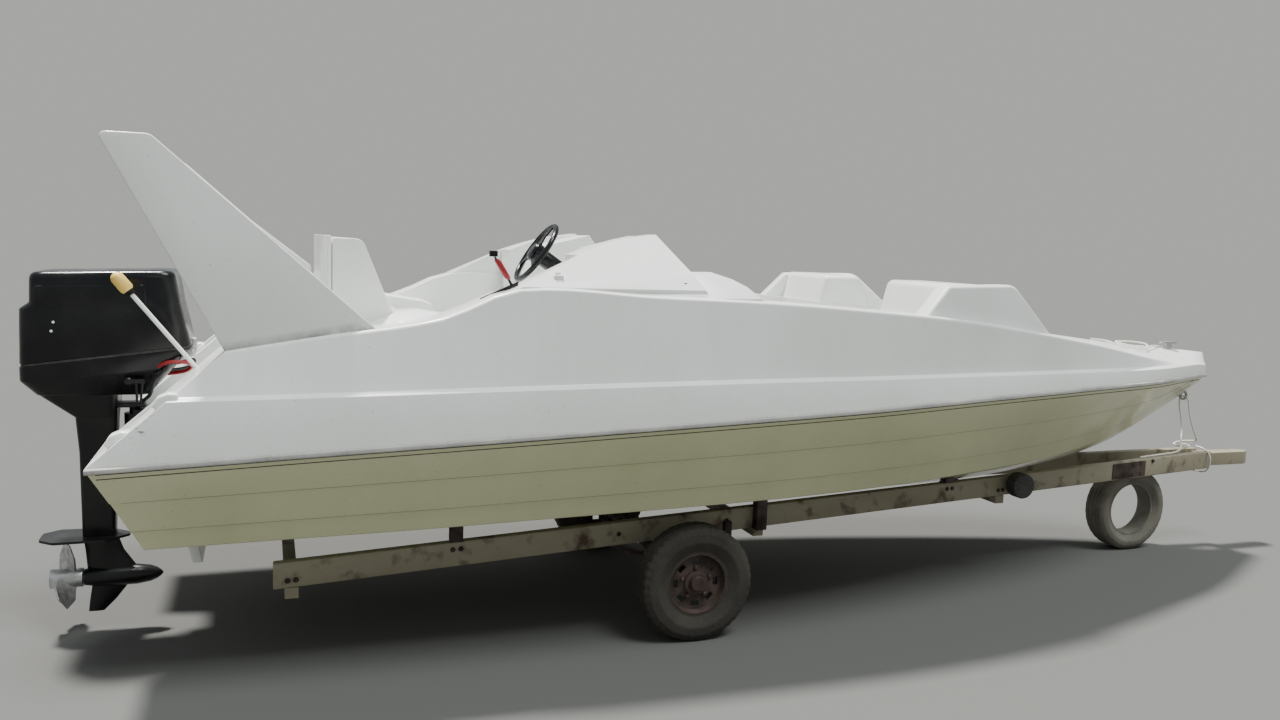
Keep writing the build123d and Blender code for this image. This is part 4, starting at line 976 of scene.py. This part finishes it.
def build_helm():
    lean = radians(HELM_LEAN)
    ahead, across = Vector((cos(lean), 0, -sin(lean))), Vector((0, 1, 0))
    up = ahead.cross(across)

    def place(out, c, s, depth):
        return at(*HELM_AT) + (across * c + up * s) * out + ahead * depth

    rings = [[place(HELM_RIM + HELM_GRIP * c, *turn, HELM_GRIP * 0.98 * s) for c, s in circle(16)]
             for turn in circle(72)]
    parts = [welded(loft(rings + [rings[0]], caps=False))]
    for turn in SPOKE_TURNS:
        sides = []
        for out, wide, depth in SPOKE:
            side = (across * -sin(turn) + up * cos(turn)) * wide
            spot, thick = place(out, cos(turn), sin(turn), depth), ahead * SPOKE_THICK
            sides.append([spot + side * a + thick * b for a, b in ((1, -1), (1, 1), (-1, 1), (-1, -1))])
        parts.append(loft(sides))
    parts.append(loft([[place(reach, c, s, depth) for c, s in circle(32)] for reach, depth in HUB]))
    stand_in("helm_wheel", parts, "steering_wheel")


# Throttle: its middle y, foot outline, knob box, and rows of x, z and radius of lever and grip
LEVER_Y, LEVER_HALF, LEVER_KNOB = -0.898, 0.012, ((1.624, 1.66), (1.906, 1.932))
LEVER_FOOT = ((1.585, 1.701), (1.757, 1.779), (1.757, 1.795), (1.585, 1.717))
LEVER = ((1.728, 1.78, 0.008), (1.712, 1.808, 0.0056), (1.668, 1.878, 0.0056), (1.648, 1.905, 0.0056))
GRIP = ((1.712, 1.806, 0.011), (1.706, 1.816, 0.016), (1.664, 1.884, 0.016), (1.656, 1.896, 0.011))


def lever_mesh(rows, sides):
    return loft([[at(x + r * c, LEVER_Y + r * s, z) for c, s in circle(sides)] for x, z, r in rows])


def build_throttle():
    across = (LEVER_Y - LEVER_HALF, LEVER_Y + LEVER_HALF)
    parts = [side_prism(LEVER_FOOT, *across), lever_mesh(LEVER, 12),
             box_mesh(LEVER_KNOB[0], across, LEVER_KNOB[1])]
    stand_in("throttle_lever", parts, "throttle", 0.003, 2)
    dress("throttle_grip", lever_mesh(GRIP, 16), "throttle", angle=GRIP_ANGLE, material=RED_PLASTIC,
          slot="black_plastic")


LIGHT_ROOT, LIGHT_HEAD = (0.4, -0.5, 1.333), (0.106, -0.5, 1.704)
POLE_R, COLLAR_R, COLLAR_ENDS = 0.01, 0.018, (-0.022, 0.004)
LENS = ((0.0, 0.012), (0.0, 0.024), (0.012, 0.03), (0.072, 0.029), (0.084, 0.024), (0.092, 0.014),
        (0.095, 0.002))


def build_stern_light():
    root, head = at(*LIGHT_ROOT), at(*LIGHT_HEAD)
    along = (head - root).normalized()
    side = along.orthogonal().normalized()
    other = along.cross(side)
    stand_in("light_pole", loft(tube([root, head], POLE_R, 20)), "stern_light_pole", angle=LINE_ANGLE,
          material=SLOT_MATERIALS["white_gelcoat"])
    rings = [[head + along * run + (side * c + other * s) * reach for c, s in circle(28)]
             for run, reach in LENS]
    stand_in("light_lens", loft(rings), "stern_light_lens")
    collar = loft(tube([head + along * run for run in COLLAR_ENDS], COLLAR_R, 24))
    dress("light_collar", collar, "stern_light_pole", angle=GRIP_ANGLE, slot="black_plastic")


# Lips on the quarters, clamps as x, y and z, and holes of the fairings, drawn as dark discs of painted shade
LIP = ((-0.052, -0.052), (-0.03, -0.008), (0.01, 0.008), (0.05, 0.006), (0.05, -0.04), (-0.01, -0.066))
LIPS_AT, LIP_IN = ((0.116, 1.165), (0.291, 1.318)), (0.075, 0.004)
CLAMPS = (((1.905, 1.95), (0.94, 0.985), (1.785, 1.832)), ((1.915, 1.94), (0.935, 0.968), (1.825, 1.846)))
HOLE_AT, HOLE_R, HOLE_DEEP = (2.54, 0.995, 1.798), 0.012, 0.004


def build_fittings():
    lips, clamps, holes = [], [], []
    for way in (1, -1):
        for x, z in LIPS_AT:
            y = fair(x, RAIL_B) * (1 - TUMBLE)
            lips.append(side_prism([(x + along, z + rise) for along, rise in LIP],
                                   *sorted(way * (y - inward) for inward in LIP_IN)))
        clamps += [box_mesh(x, sorted(way * y for y in across), z) for x, across, z in CLAMPS]
        # Each hole is a dark disc on the surface: painted shade of the hole
        holes.append(disc((HOLE_AT[0], way * HOLE_AT[1], HOLE_AT[2]), HOLE_R, HOLE_DEEP, 20, way))
    dress("fairing_clamps", clamps, "deck", 0.005)
    add_piece("fairing_hole_shades", holes, "pod_port", slot="black_rubber")
    dress("quarter_lips", lips, "deck", 0.012, 4)


# Lines along the sides: between two heights from the rub rail's middle, and painted shadow under each lap
# The first line is a dark band just under the rub rail
RAIL_LINES = (("rail_under_band", -0.0185, -0.0125, 0.0035), ("rail_line", -0.04, -0.0365, 0.0015))
LINE_STEPS, LINE_INSET, LINE_DEEP, LAP_SHADE_FROM, LAP_SHADE_LONG = 80, 0.04, 0.004, 0.12, 6.6
LAP_SHADE_SECTION = ((-0.004, -0.0035), (0.0012, -0.0035), (0.004, 0.0008), (-0.004, 0.0008))


def side_lines(xs, section):
    """Thin strips along both sides, their sections given by a function of x."""
    return joined([loft([[at(x, way * y, z) for y, z in section(x)] for x in xs]) for way in (1, -1)])


def build_lines():
    xs = [STATIONS[0][X] + LINE_INSET + (STATIONS[-1][X] - 2 * LINE_INSET) * i / LINE_STEPS
          for i in range(LINE_STEPS + 1)]
    for name, low, high, out in RAIL_LINES:

        def rail_section(x):
            b, s, c, zc = topside(x)
            lean = (b - c) / (s - zc)
            return [(b + lean * rise + reach, s + rise)
                    for rise, reach in ((low, -LINE_DEEP), (low, out), (high, out), (high, -LINE_DEEP))]

        add_piece(name, side_lines(xs, rail_section), "hull", slot="black_rubber")
    xs = [LAP_SHADE_FROM + LAP_SHADE_LONG * i / LINE_STEPS for i in range(LINE_STEPS + 1)]
    lines = []
    # Dark strips just under each lap: painted shadow of the lap's step
    for share in LAP_SHARES:

        def lap_shade_section(x):
            y, z, lap = lap_at(x, share)
            return [(y - lap + out, z + rise) for out, rise in LAP_SHADE_SECTION]

        lines.append(side_lines(xs, lap_shade_section))
    carve(add_piece("lap_shadow_strips", lines, "hull", LAP_SHADE, "black_rubber"), rake_mesh())


# Ropes
STRANDS, STRAND_LAY, STRAND_DEEP = 3, 0.05, 0.22


def lay_rope(name, node, route):
    """Three-strand rope along a smooth spline through the route."""
    line = bpy.data.curves.new(name, "CURVE")
    line.dimensions = "3D"
    spline = line.splines.new("NURBS")
    spline.points.add(len(route) - 1)
    for point, place in zip(spline.points, route):
        point.co = (*at(*place), 1)
    spline.order_u = 3
    spline.use_endpoint_u = True
    line.resolution_u = 16
    guide = placed(name + "_guide", line)
    points = [vertex.co.copy() for vertex in evaluated(guide).vertices]
    length = sum((b - a).length for a, b in zip(points, points[1:]))
    bpy.data.objects.remove(guide)
    strands = loft(tube(points, ROPE_R, 18, lobes=STRANDS, twist=2 * pi / STRAND_LAY, depth=STRAND_DEEP))
    piece = smooth(add_piece(name, strands, node), LINE_ANGLE)
    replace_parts(piece, node)
    at(*route[0])


def finish_nodes():
    """Materials of the CAD nodes that keep their own shape."""
    for node, slot in NODE_SLOTS.items():
        shape = bpy.data.objects[node]
        for material_slot in shape.material_slots:
            material_slot.material = SLOT_MATERIALS[slot]


# Stage: sky and floor, and sun lamps as direction, strength, spread and colour
SKY_COLOUR, SKY_STRENGTH, FLOOR_COLOUR = (0.93, 0.98, 1.0), 0.5, (0.12, 0.12, 0.117)
KEY = ((-0.15, 0.27, 0.92), 8.5, 6.0, (1.0, 0.98, 0.94))
FILL = ((0.25, -0.36, 0.9), 3.0, 25.0, (0.96, 1.0, 0.98))
FLOOR_REACH = 400


def add_sun(name, toward, strength, spread, colour):
    """Sun lamp from a direction; returns what it adds to the radiance of a white floor."""
    light = bpy.data.lights.new(name, "SUN")
    light.energy, light.angle, light.color = strength, radians(spread), colour
    lamp = placed(name, light)
    lamp.rotation_euler = (-Vector(toward)).to_track_quat("-Z", "Y").to_euler()
    return [strength * Vector(toward).normalized().z / pi * channel for channel in colour]


def build_stage():
    """Pale floor that runs out of sight, and a backdrop of the colour that the lit floor has."""
    corners = [(x * FLOOR_REACH, y * FLOOR_REACH, 0) for x, y in ((-1, -1), (1, -1), (1, 1), (-1, 1))]
    floor = placed("floor", mesh_of(corners, [(0, 1, 2, 3)]))
    floor.data.materials.append(Paint("floor_pale", FLOOR_COLOUR, 1.0, Specular_IOR_Level=0.0).material)
    lit = [sum(parts) for parts in zip(add_sun("key", *KEY), add_sun("fill", *FILL),
                                       [SKY_STRENGTH * channel for channel in SKY_COLOUR])]
    world = bpy.data.worlds.new("studio")
    world.use_nodes = True
    tree = world.node_tree
    sky = tree.nodes["Background"]
    sky.inputs["Color"].default_value = (*SKY_COLOUR, 1)
    sky.inputs["Strength"].default_value = SKY_STRENGTH
    backdrop = tree.nodes.new("ShaderNodeBackground")
    backdrop.inputs["Color"].default_value = (*[a * b for a, b in zip(FLOOR_COLOUR, lit)], 1)
    seen = tree.nodes.new("ShaderNodeLightPath").outputs["Is Camera Ray"]
    either = tree.nodes.new("ShaderNodeMixShader")
    tree.links.new(seen, either.inputs[0])
    tree.links.new(sky.outputs[0], either.inputs[1])
    tree.links.new(backdrop.outputs[0], either.inputs[2])
    tree.links.new(either.outputs[0], tree.nodes["World Output"].inputs["Surface"])
    bpy.context.scene.world = world


def place_camera():
    lens = bpy.data.cameras.new("camera")
    lens.sensor_width, lens.lens = SENSOR, SENSOR * FOCAL_PIXELS / IMAGE_WIDE
    camera = placed("camera", lens)
    place = Matrix.Translation(at(*CAMERA_AT))
    for angle, axis in ((-CAMERA_YAW, "Z"), (90 - CAMERA_PITCH, "X"), (CAMERA_ROLL, "Z")):
        place = place @ Matrix.Rotation(radians(angle), 4, axis)
    camera.matrix_world = place
    bpy.context.scene.camera = camera


place_camera()
build_stage()
finish_nodes()
lay_rope("bow_line_rope", "bow_line", BOW_LINE)
lay_rope("deck_rope_heap", "deck_rope", DECK_ROPE)
build_hull_and_deck()
for side, way in SIDES:
    build_fin(side, way)
    build_wing(side, way)
build_seat()
build_copies()
build_cowl()
build_leg()
build_linkage()
build_wheels()
build_trailer()
build_helm()
build_throttle()
build_stern_light()
build_fittings()
build_lines()
